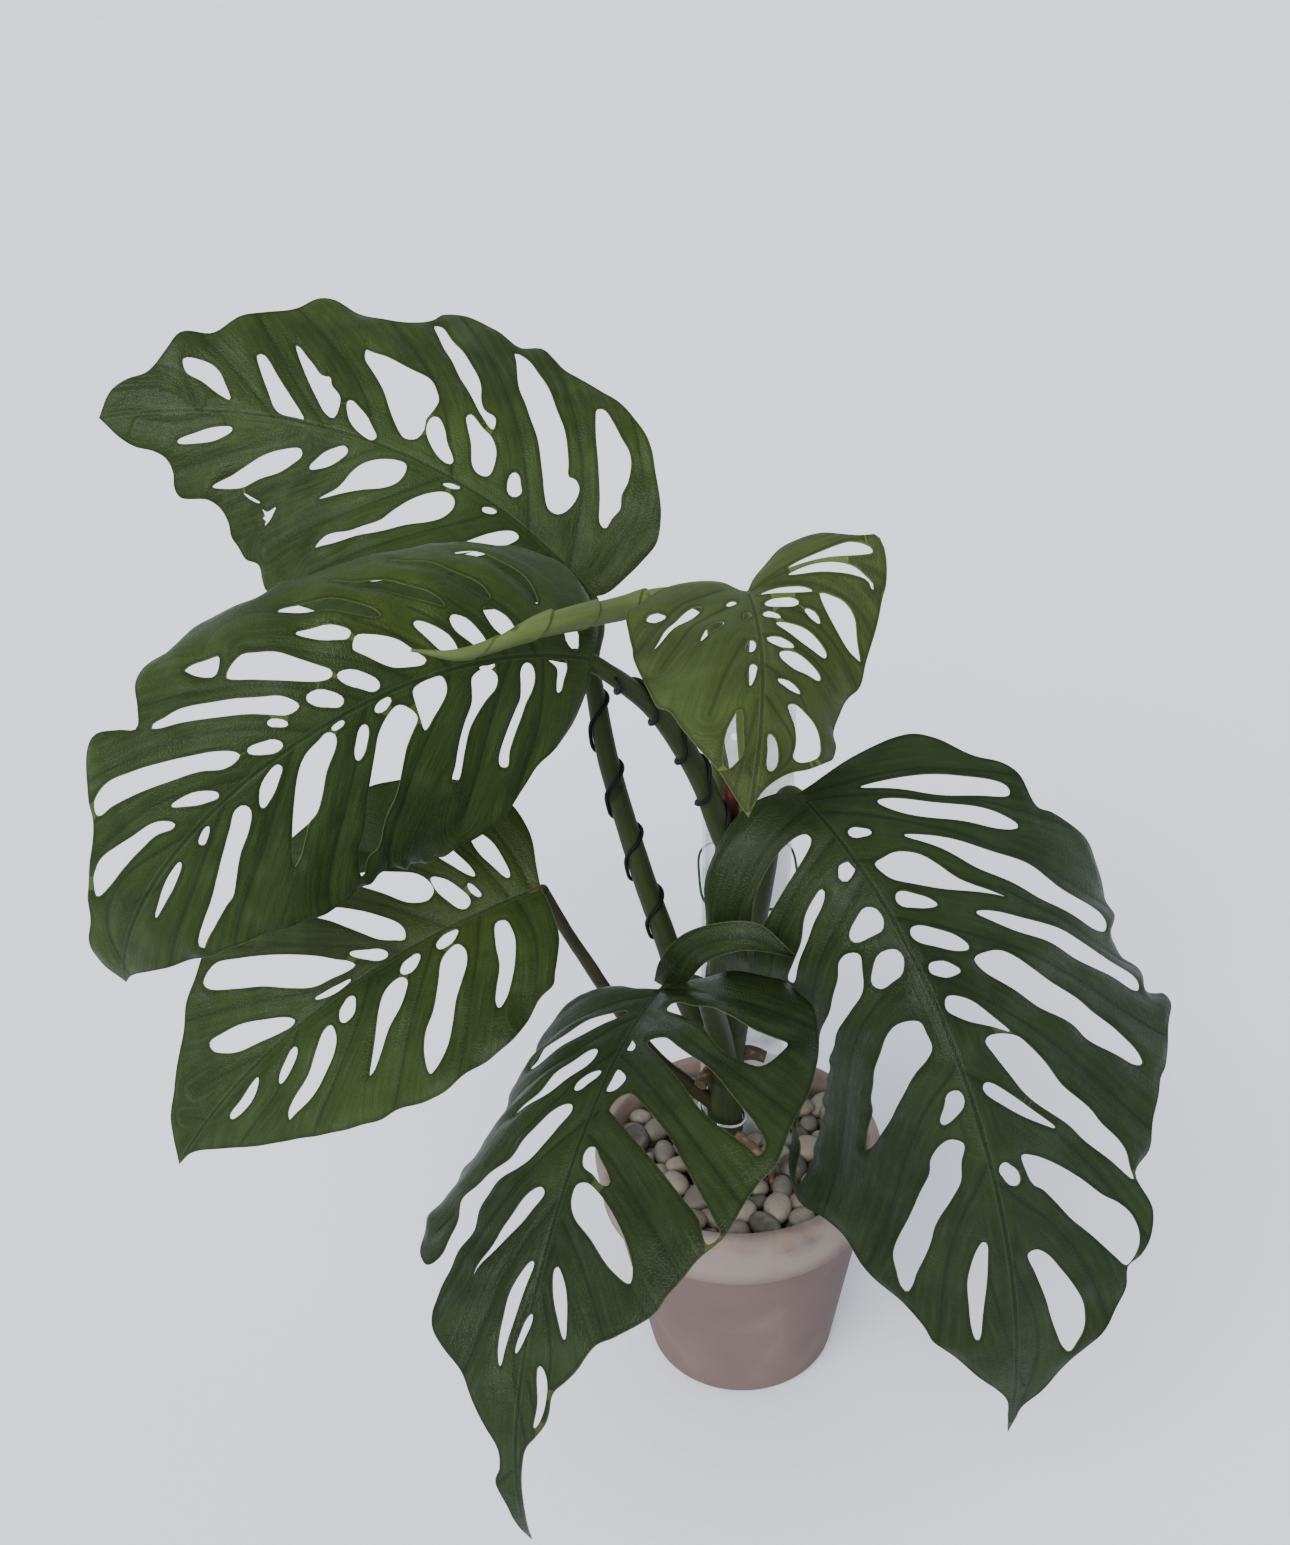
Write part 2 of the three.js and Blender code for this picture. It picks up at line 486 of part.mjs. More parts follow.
// The outline of one slot, from its inner end round to it again.
function slot([a0, b0, a1, b1, a2, b2, near, far]) {
  const length = Math.hypot(a2 - a0, b2 - b0);
  const count = Math.max(2, Math.round(length / LONGEST_EDGE) + 2);
  const stops = length < 16 ? [0.22, 0.78]
    : Array.from({ length: count }, (_, i) => 0.12 + 0.76 * i / (count - 1));
  const centre = (t) => [quadratic(a0, a1, a2, t), quadratic(b0, b1, b2, t)];
  const edge = (t, side) => {
    const [a, b] = centre(t);
    const [ahead, beside] = centre(t + 0.01);
    const step = Math.hypot(ahead - a, beside - b);
    const width = Math.max(near + (far - near) * (2 * t - 0.5), (near + far) * 0.1);
    const half = side * 0.57 * width * Math.sin(Math.PI * t) ** 0.4;
    return [a - half * (beside - b) / step, b + half * (ahead - a) / step];
  };
  return [[a0, b0], ...stops.map((t) => edge(t, 1)), [a2, b2],
    ...stops.reverse().map((t) => edge(t, -1))];
}

function edgesOf(triangles) {
  const edges = new Map();
  triangles.forEach((triangle, i) => {
    for (let j = 0; j < 3; j += 1) {
      const from = triangle[j];
      const to = triangle[(j + 1) % 3];
      const key = from < to ? `${from},${to}` : `${to},${from}`;
      if (!edges.has(key)) edges.set(key, []);
      edges.get(key).push({ i, from, to, apex: triangle[(j + 2) % 3] });
    }
  });
  return [...edges.values()];
}

function area(points, a, b, c) {
  const [p, q, r] = [points[a], points[b], points[c]];
  return (q[0] - p[0]) * (r[1] - p[1]) - (r[0] - p[0]) * (q[1] - p[1]);
}

function cosine(points, apex, from, to) {
  const u = [points[from][0] - points[apex][0], points[from][1] - points[apex][1]];
  const v = [points[to][0] - points[apex][0], points[to][1] - points[apex][1]];
  return (u[0] * v[0] + u[1] * v[1]) / (Math.hypot(...u) * Math.hypot(...v));
}

// Turns inner edges round where that gives fatter triangles, in the flat drawing.
function fatten(points, triangles) {
  for (let pass = 0; pass < 12; pass += 1) {
    const touched = new Set();
    for (const pair of edgesOf(triangles)) {
      if (pair.length !== 2) continue;
      const [one, two] = pair;
      if (touched.has(one.i) || touched.has(two.i)) continue;
      const { from, to, apex } = one;
      const facing = Math.acos(cosine(points, apex, from, to))
        + Math.acos(cosine(points, two.apex, from, to));
      const first = [apex, from, two.apex];
      const second = [apex, two.apex, to];
      if (facing <= Math.PI + 1e-6) continue;
      if (area(points, ...first) < 1e-3 || area(points, ...second) < 1e-3) continue;
      triangles[one.i] = first;
      triangles[two.i] = second;
      touched.add(one.i).add(two.i);
    }
    if (touched.size === 0) return;
  }
}

// Halves long inner edges until none is longer than the limit.
function refine(points, triangles, limit) {
  for (let pass = 0; pass < 14; pass += 1) {
    fatten(points, triangles);
    const span = ({ from, to }) => Math.hypot(points[from][0] - points[to][0],
      points[from][1] - points[to][1]);
    const long = edgesOf(triangles).filter((pair) => pair.length === 2 && span(pair[0]) > limit);
    long.sort((p, q) => span(q[0]) - span(p[0]));
    const touched = new Set();
    for (const [one, two] of long) {
      if (touched.has(one.i) || touched.has(two.i)) continue;
      const middle = points.length;
      points.push([0, 1].map((k) => (points[one.from][k] + points[one.to][k]) / 2));
      triangles[one.i] = [one.from, middle, one.apex];
      triangles.push([middle, one.to, one.apex]);
      triangles[two.i] = [two.from, middle, two.apex];
      triangles.push([middle, two.to, two.apex]);
      touched.add(one.i).add(two.i);
    }
    if (long.length === 0) return;
  }
}

// A margin with stops added where two of its points lie far apart, without its two ends.
function withStops(line) {
  const stops = [];
  for (let i = 1; i < line.length; i += 1) {
    const [from, to] = [line[i - 1], line[i]];
    const count = Math.ceil(Math.hypot(to[0] - from[0], to[1] - from[1]) / LONGEST_EDGE);
    for (let k = 1; k <= count; k += 1) {
      stops.push([0, 1].map((axis) => from[axis] + (to[axis] - from[axis]) * k / count));
    }
  }
  return stops.slice(0, -1);
}

// The two halves of the flat drawing, cut up alike for the upper and the lower face.
function flatBlade(leaf) {
  const points = [];
  const triangles = [];
  const found = new Map();
  const ribSteps = Math.round(leaf.length / RIB_STEP);
  for (const side of [-1, 1]) {
    const margin = side < 0 ? leaf.left : leaf.right;
    // While it is cut up, the midrib bows a little into this half, so that no triangle
    // lies along it with no width.
    const rib = Array.from({ length: ribSteps + 1 }, (_, i) => [
      leaf.length * i / ribSteps, side * RIB_BOW * Math.sin(Math.PI * i / ribSteps),
    ]);
    const contour = [...rib, ...withStops([rib[0], ...margin, rib[ribSteps]]).reverse()];
    const holes = leaf.holes.filter((row) => Math.sign(row[3]) === side).map(slot);
    const asVectors = (list) => list.map(([a, b]) => new THREE.Vector2(a, b));
    const faces = THREE.ShapeUtils.triangulateShape(asVectors(contour), holes.map(asVectors));
    const own = [contour, ...holes].flat();
    const ownFaces = faces.map(([p, q, r]) => (area(own, p, q, r) > 0 ? [p, q, r] : [p, r, q]));
    refine(own, ownFaces, LONGEST_EDGE);
    for (let i = 0; i <= ribSteps; i += 1) own[i][1] = 0;
    const index = own.map((p) => {
      const key = `${p[0].toFixed(3)},${p[1].toFixed(3)}`;
      if (!found.has(key)) {
        found.set(key, points.length);
        points.push(p);
      }
      return found.get(key);
    });
    triangles.push(...ownFaces.map((face) => face.map((i) => index[i])));
  }
  return { points, triangles };
}

function blade(leaf) {
  const { points, triangles } = flatBlade(leaf);
  const stations = midrib(leaf);
  const half = BLADE_THICKNESS / 2;
  const upper = points.map(([a, b]) => onBlade(leaf, stations, a, b, half));
  const lower = points.map(([a, b]) => onBlade(leaf, stations, a, b, -half));
  const count = points.length;
  const all = [];
  for (const [a, b, c] of triangles) {
    all.push([a, c, b], [a + count, b + count, c + count]);
  }
  for (const pair of edgesOf(triangles)) {
    if (pair.length !== 1) continue;
    const { from, to } = pair[0];
    all.push([from, to, to + count], [from, to + count, from + count]);
  }
  return closedSolid([...upper, ...lower], all);
}

// A strip of blade along a path, as wide as the list says, with its face to the front.
function strip(points, halfWidths) {
  const curve = new THREE.CatmullRomCurve3(points.map(vector));
  const facing = vector([0.1, -0.75, 0.65]).normalize();
  return sweep((t) => {
    const centre = curve.getPointAt(t);
    const side = curve.getTangentAt(t).cross(facing).normalize();
    const corner = (across, lift) => centre.clone()
      .addScaledVector(side, across * readAlong(halfWidths, t))
      .addScaledVector(facing, lift * BLADE_THICKNESS / 2).toArray();
    return [corner(1, 1), corner(-1, 1), corner(-1, -1), corner(1, -1)];
  }, 10, 4);
}

function wholeLeaf(leaf) {
  const stations = midrib(leaf);
  const top = onBlade(leaf, stations, leaf.length * 0.036, 0, -2);
  const stalk = rod([top, leaf.base, ...leaf.stalk], leaf.stalkRadius, 12, 8);
  return blade(leaf).add(stalk);
}

// Small seeded generator, so that every build scatters the pebbles alike.
function seeded(seed) {
  let state = seed;
  return () => {
    state = (state * 1664525 + 1013904223) % 4294967296;
    return state / 4294967296;
  };
}

function makePot() {
  const shoulder = POT_HEIGHT - RIM_BAND;
  const bodyInside = BODY_TOP_RADIUS - WALL;
  const shell = turned([
    [0, 0], [FOOT_RADIUS - 2, 0], [FOOT_RADIUS, 2], [BODY_TOP_RADIUS, shoulder],
    [RIM_RADIUS - 3, shoulder + 1], [RIM_RADIUS, POT_HEIGHT - 4], [RIM_RADIUS - 1.5, POT_HEIGHT],
    [RIM_RADIUS - WALL + 1, POT_HEIGHT], [RIM_RADIUS - WALL, POT_HEIGHT - 2],
    [bodyInside + 3, shoulder], [FOOT_RADIUS - WALL, FLOOR], [0, FLOOR],
  ], 48);
  const drains = [90, 210, 330].map((angle) => cylinder(DRAIN_RADIUS, -1, FLOOR + 1,
    DRAIN_OFFSET * Math.cos(radians(angle)), DRAIN_OFFSET * Math.sin(radians(angle)), 12));
  return shell.subtract(Manifold.union(drains));
}

// The pot's inner radius at a height.
function insideRadius(z) {
  const shoulder = POT_HEIGHT - RIM_BAND;
  const low = FOOT_RADIUS - WALL;
  const middle = BODY_TOP_RADIUS - WALL + 3;
  const high = RIM_RADIUS - WALL;
  if (z < shoulder) return low + (middle - low) * (z - FLOOR) / (shoulder - FLOOR);
  return middle + (high - middle) * (z - shoulder) / (POT_HEIGHT - 2 - shoulder);
}

// Rounded river pebbles in rings on a thin bed, fused into one layer.
function makeGravel() {
  const random = seeded(7);
  const bed = turned([
    [0, SOIL_TOP + GAP], [insideRadius(SOIL_TOP) - 0.6, SOIL_TOP + GAP],
    [insideRadius(GRAVEL_TOP) - 1, GRAVEL_TOP - 3], [0, GRAVEL_TOP - 3],
  ], 32);
  const pebbles = [];
  PEBBLE_RINGS.forEach(({ radius, count }) => {
    for (let i = 0; i < count; i += 1) {
      const angle = 2 * Math.PI * (i + 0.6 * random()) / count;
      const long = 9 + 2.5 * random();
      const geometry = new THREE.IcosahedronGeometry(1, 0);
      geometry.scale(long, long * (0.7 + 0.2 * random()), long * (0.55 + 0.15 * random()));
      geometry.rotateZ(random() * Math.PI);
      geometry.rotateX(0.3 * (random() - 0.5));
      const reach = radius + 3 * (random() - 0.5);
      geometry.translate(reach * Math.cos(angle), reach * Math.sin(angle), GRAVEL_TOP + 2 * random());
      pebbles.push(solidFrom(geometry));
    }
  });
  const trim = cylinder(insideRadius(SOIL_TOP) - 0.6, SOIL_TOP + GAP, POT_HEIGHT + 20, 0, 0, 48);
  return bed.add(Manifold.union(pebbles)).intersect(trim);
}

// A solid drawn on the stake's foot, leaned over with the stake.
function leaning(geometry) {
  geometry.rotateY(radians(STAKE_LEAN));
  geometry.translate(0, STAKE_FRONT, STAKE_FOOT);
  return solidFrom(geometry);
}

// A half-round clear pole, hollow side to the front, with two rows of small holes.
function makeStake() {
  const outline = new THREE.Shape();
  const half = STAKE_WIDTH / 2;
  outline.moveTo(-half, 0);
  outline.lineTo(-half * 0.86, STAKE_DEPTH * 0.6);
  outline.lineTo(-half * 0.45, STAKE_DEPTH);
  outline.lineTo(half * 0.45, STAKE_DEPTH);
  outline.lineTo(half * 0.86, STAKE_DEPTH * 0.6);
  outline.lineTo(half, 0);
  outline.lineTo(half - STAKE_WALL, 0);
  outline.lineTo(half * 0.86 - STAKE_WALL, STAKE_DEPTH * 0.6 - 0.5);
  outline.lineTo(half * 0.45 - 0.6, STAKE_DEPTH - STAKE_WALL);
  outline.lineTo(0.6 - half * 0.45, STAKE_DEPTH - STAKE_WALL);
  outline.lineTo(STAKE_WALL - half * 0.86, STAKE_DEPTH * 0.6 - 0.5);
  outline.lineTo(STAKE_WALL - half, 0);
  outline.closePath();
  const geometry = new THREE.ExtrudeGeometry(outline, {
    depth: STAKE_TOP - STAKE_FOOT, bevelEnabled: false, steps: 1,
  });
  const holes = [];
  for (let z = 130; z < STAKE_TOP - STAKE_FOOT - 10; z += 42) {
    for (const x of [-6, 6]) {
      const hole = new THREE.CylinderGeometry(STAKE_HOLE, STAKE_HOLE, 8, 6);
      hole.translate(x, STAKE_DEPTH - 1, z);
      holes.push(leaning(hole));
    }
  }
  return leaning(geometry).subtract(Manifold.union(holes));
}

// The stem with the leaf bases that clasp its middle, made larger all round by room.
function makeTrunk(room) {
  const path = STEM_PATH.map((p) => [...p]);
  path[path.length - 1][2] += room;
  return rod(path, STEM_RADII.map((radius) => radius + room), 12, 12);
}

// Two cut leaf bases and three aerial roots have grown as one with the stem.
function makeStem() {
  const stubs = [
    rod([[-2, 3, 198], [8, 3, 199], [16, 1, 197]], [4.5, 4, 3.4], 4, 8),
    rod([[-13.5, 0, 191], [-17.5, -7, 191], [-20, -11.5, 190]], [4, 3.8, 3.5], 4, 8),
  ];
  const roots = ROOTS.map((path) => rod(path, [2.6, 2.4, 2, 1], 7, 6));
  return Manifold.union([makeTrunk(0), ...stubs, ...roots]);
}

// What has to pass through the soil and the gravel, a little larger than it is.
function makeFillHoles() {
  const above = POT_HEIGHT + 30;
  const foot = STEM_PATH[0];
  const room = new THREE.BoxGeometry(STAKE_WIDTH + 1, STAKE_DEPTH + 1, above - STAKE_FOOT);
  room.translate(0, STAKE_DEPTH / 2, (above - STAKE_FOOT) / 2 - GAP);
  return Manifold.union([
    leaning(room), cylinder(STEM_RADII[0] + 1, foot[2] - GAP, above, foot[0], foot[1], 12),
    ...ROOTS.map((path) => {
      const [x, y, z] = path[path.length - 1];
      return cylinder(ROOT_ROOM, z - GAP, above, x, y, 8);
    }),
  ]);
}

function makeSoil() {
  const shoulder = POT_HEIGHT - RIM_BAND;
  return turned([
    [0, FLOOR + GAP], [insideRadius(FLOOR) - 0.5, FLOOR + GAP],
    [insideRadius(shoulder) - 0.5, shoulder], [insideRadius(SOIL_TOP) - 0.5, SOIL_TOP],
    [0, SOIL_TOP],
  ], 48);
}

// A closed hoop of round wire, tilted about X and then about Y. A power of 2 gives an
// oval, and a higher one squares it up.
function hoop({ across, deep, power, wire, tilt, slope, middle }) {
  const profile = [];
  for (let i = 0; i <= 6; i += 1) {
    const angle = (i % 6) * Math.PI / 3;
    profile.push(new THREE.Vector2(across + wire * Math.cos(angle), wire * Math.sin(angle)));
  }
  const geometry = new THREE.LatheGeometry(profile, 24);
  geometry.rotateX(Math.PI / 2);
  const place = geometry.attributes.position;
  for (let i = 0; i < place.count; i += 1) {
    const [x, y] = [place.getX(i), place.getY(i)];
    const angle = Math.atan2(y, x);
    const reach = (Math.abs(Math.cos(angle)) ** power + Math.abs(Math.sin(angle)) ** power)
      ** (-1 / power);
    place.setXY(i, x * reach, y * reach * deep / across);
  }
  geometry.rotateX(radians(tilt));
  geometry.rotateY(radians(slope));
  geometry.translate(...middle);
  return solidFrom(geometry);
}

const fillHoles = makeFillHoles();
const leafNamed = (name) => LEAVES.find((leaf) => leaf.name === name);
const stalkPath = (name) => [leafNamed(name).base, ...leafNamed(name).stalk];
// The stalks end on the stem with a small gap.
const stemRoom = makeTrunk(0.4);

const LEAF_LOOK = { colour: 0x3d4f2a, roughness: 0.45 };
const LOOKS = {
  pot: { colour: 0x9b8a84, roughness: 0.95 },
  soil: { colour: 0x3b2b20, roughness: 1 },
  gravel: { colour: 0x9a8f83, roughness: 0.7 },
  stake: { colour: 0xc9cdd2, roughness: 0.25 },
  stem: { colour: 0x4f5a33, roughness: 0.6 },
  wire: { colour: 0x1d211c, roughness: 0.5 },
  tie: { colour: 0x2c4a35, roughness: 0.4 },
  ring: { colour: 0xb8bcc0, roughness: 0.3, metalness: 1 },
  sheath: { colour: 0x6b2a18, roughness: 0.7 },
  newLeaf: { colour: 0x74874f, roughness: 0.45 },
};

const plant = new THREE.Group();
plant.name = 'potted_monstera';

function place(name, solid, look) {
  const material = new THREE.MeshStandardMaterial({
    color: look.colour, roughness: look.roughness, metalness: look.metalness || 0,
  });
  const mesh = new THREE.Mesh(geometryFrom(solid), material);
  mesh.name = name;
  plant.add(mesh);
}

place('pot', makePot(), LOOKS.pot);
place('soil', makeSoil().subtract(fillHoles), LOOKS.soil);
place('pebbles', makeGravel().subtract(fillHoles), LOOKS.gravel);
place('stake', makeStake(), LOOKS.stake);
place('stem', makeStem(), LOOKS.stem);
for (const leaf of LEAVES) {
  const look = leaf.name === 'leaf_top' ? LOOKS.newLeaf : LEAF_LOOK;
  let solid = wholeLeaf(leaf);
  if (leaf.name === 'leaf_front') solid = solid.add(strip(LOBE_PATH, LOBE_HALF_WIDTHS));
  place(leaf.name, solid.subtract(stemRoom), look);
}
place('leaf_rolled', rod(SPEAR_PATH, SPEAR_RADII, 34, 8).subtract(stemRoom), LOOKS.newLeaf);
place('wire_upper', winding(stalkPath('leaf_upper_left'), 0.12, 0.72, 6, 7.9), LOOKS.wire);
place('wire_middle', winding(stalkPath('leaf_middle_left'), 0.06, 0.62, 5, 7.7), LOOKS.wire);
place('tie_wire', hoop(TIE_WIRE), LOOKS.tie);
place('clip_ring', hoop(CLIP_RING), LOOKS.ring);
place('dried_sheath', rod(SHEATH_PATH, SHEATH_RADII, 5, 8), LOOKS.sheath);

export default plant;
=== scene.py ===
"""Potted monstera acuminata on a clear stake, dressed over its solid model.

Sizes in the tables are millimetres, as they are drawn. What reaches the scene is metres.
+Z is up, the origin is on the pot's axis where it stands, and the front faces -Y.
"""

import math
import random

import bpy
import numpy as np
from bpy.props import FloatProperty, FloatVectorProperty, IntProperty, PointerProperty
from mathutils import Matrix, Vector
from mathutils.geometry import delaunay_2d_cdt
from mathutils.kdtree import KDTree


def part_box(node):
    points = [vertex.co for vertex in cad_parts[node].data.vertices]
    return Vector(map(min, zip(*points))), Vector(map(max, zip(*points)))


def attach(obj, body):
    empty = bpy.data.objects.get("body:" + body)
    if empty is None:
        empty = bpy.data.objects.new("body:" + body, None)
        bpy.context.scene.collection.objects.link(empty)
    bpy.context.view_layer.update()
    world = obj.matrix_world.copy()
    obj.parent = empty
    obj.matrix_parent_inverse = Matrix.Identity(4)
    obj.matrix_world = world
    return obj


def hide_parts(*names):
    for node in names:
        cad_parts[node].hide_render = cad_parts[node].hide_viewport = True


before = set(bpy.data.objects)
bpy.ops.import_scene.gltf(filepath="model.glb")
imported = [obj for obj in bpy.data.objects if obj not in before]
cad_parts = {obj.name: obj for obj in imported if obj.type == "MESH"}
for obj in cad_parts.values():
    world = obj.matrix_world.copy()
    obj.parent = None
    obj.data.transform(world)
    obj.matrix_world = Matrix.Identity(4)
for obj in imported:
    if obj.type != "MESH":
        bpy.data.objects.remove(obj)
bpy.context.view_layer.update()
POT_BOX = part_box("pot")
STAKE_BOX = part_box("stake")

bl_info = {
    "name": "Potted monstera",
    "version": (1, 0, 0),
    "blender": (4, 5, 0),
    "location": "View3D > Sidebar > Monstera",
    "description": "Builds a potted monstera with rolled and open leaves on a clear stake",
    "category": "Add Mesh",
}

MM = 0.001

# The photograph's view: where the camera stands, how far it looks down and leans over.
IMAGE_HEIGHT = 1545
CAMERA_PLACE = (-0.042, -0.729, 0.778)
CAMERA_PITCH = 28.84
CAMERA_LEAN = -2.66
VIEW_DISTANCE = 1700
FILM_HEIGHT = 36

# The stem, the new leaf and the roots follow the same points as in the solid model.
STEM_PATH = [[-7, -1, 118], [-7, -1, 140], [-6, 0, 180], [-3, -1, 240], [0, -2, 300], [1, -3, 352]]
STEM_RADII = [9, 9, 9.5, 12, 11, 7]
SPEAR_PATH = [
    [-131, -122, 503], [-115, -117, 498], [-102, -107, 496], [-86, -94, 497], [-72, -81, 495],
    [-59, -64, 490], [-47, -49, 486], [-34, -41, 486], [-23, -37, 484], [-12, -33, 478],
    [-7, -27, 460], [-8, -18, 436], [-8, -7, 405], [-5, 4, 372], [-4, 4, 348],
]
SPEAR_RADII = [0.4, 2.5, 3, 5, 5, 5, 4.5, 3.8, 3.8, 3.8, 3.8, 4, 4, 4.2, 4.2]
LOBE_PATH = [
    [-38, -109, 327], [-33, -118, 342], [-25, -126, 358], [-13, -132, 367], [0, -136, 370],
    [17, -140, 362],
]
LOBE_HALF_WIDTHS = [5, 8, 8, 7, 6, 0.6]
LOBE_FACING = (0.1, -0.75, 0.65)
ROOTS = [
    [[-4, -4, 152], [6, -13, 149], [14, -20, 142], [17, -22, 134], [17, -22, 118]],
    [[-8, -3, 151], [-16, -8, 148], [-22, -10, 142], [-24, -11, 134], [-24, -11, 118]],
    [[-5, -4, 148], [-3, -14, 146], [0, -22, 142], [1, -25, 134], [1, -25, 118]],
]
ROOT_RADII = [2.6, 2.4, 2, 1.6]
STUBS = [
    ([[-2, 3, 198], [8, 3, 199], [16, 1, 197]], [4.5, 4, 3.4]),
    ([[-13.5, 0, 191], [-17.5, -7, 191], [-20, -11.5, 190]], [4, 3.8, 3.5]),
]
SHEATH_PATH = [[0, -7, 379], [0, -6, 366], [0, -5, 352.9]]
SHEATH_RADII = [1.2, 3.6, 4, 3]

# The pot's floor and drain holes, in metres and degrees.
POT_FLOOR = 0.009
DRAIN_RADIUS = 0.006
DRAIN_OFFSET = 0.024
DRAIN_ANGLES = (90, 210, 330)

# The pebbles, in metres: how many in each layer, how far one layer lies above the other, how
# far inside the rim they start, and the radius left free round what stands in them.
PEBBLES_IN_LAYERS = (62, 74)
PEBBLE_LAYER_RISE = 0.0078
RIM_CLEARANCE = 0.0105
STEM_CLEARANCE = 0.0105
ROOT_CLEARANCE = 0.0035
STAKE_CLEARANCE = 0.0085
# A row of round posts stands for the stake: where the middle one is, counted from the stake's
# left side, how far apart they are, and how far back.
STAKE_MIDDLE = 0.030
STAKE_POST_STEP = 0.0065
STAKE_POST_DEPTH = 0.0215
# They settle in passes. Each pass pushes two that are closer than this share of their two
# radii apart by part of what is missing.
SETTLING_PASSES = 140
PEBBLE_CLOSENESS = 0.97
PEBBLE_PUSH = 0.35

# The stake's section, its place and lean, and the height of its lowest holes, in millimetres
# and degrees. It is made from the top of the soil up, and leans about its foot.
STAKE_HALF_WIDTH = 23
STAKE_DEPTH = 13
STAKE_WALL = 1.8
STAKE_FRONT = 15
STAKE_FOOT = 40
STAKE_SHOWS_FROM = 120
STAKE_TOP = 400
STAKE_LEAN = 1.7
FIRST_HOLE = 170

# The wound wires: leaf, node, the shares of the stalk where each starts and stops, and turns.
WINDINGS = [
    ("leaf_upper_left", "wire_upper", 0.12, 0.72, 4.4),
    ("leaf_middle_left", "wire_middle", 0.06, 0.62, 4.0),
]
TIE_HOOP = {
    "across": 25, "deep": 26, "power": 4, "wire": 0.7, "tilt": 12, "slope": 0,
    "middle": (8.2, 5, 312),
}
RING_HOOP = {
    "across": 13, "deep": 13, "power": 2, "wire": 1.1, "tilt": 0, "slope": 18,
    "middle": (-8, -1, 163),
}
HOOP_POINTS = 96

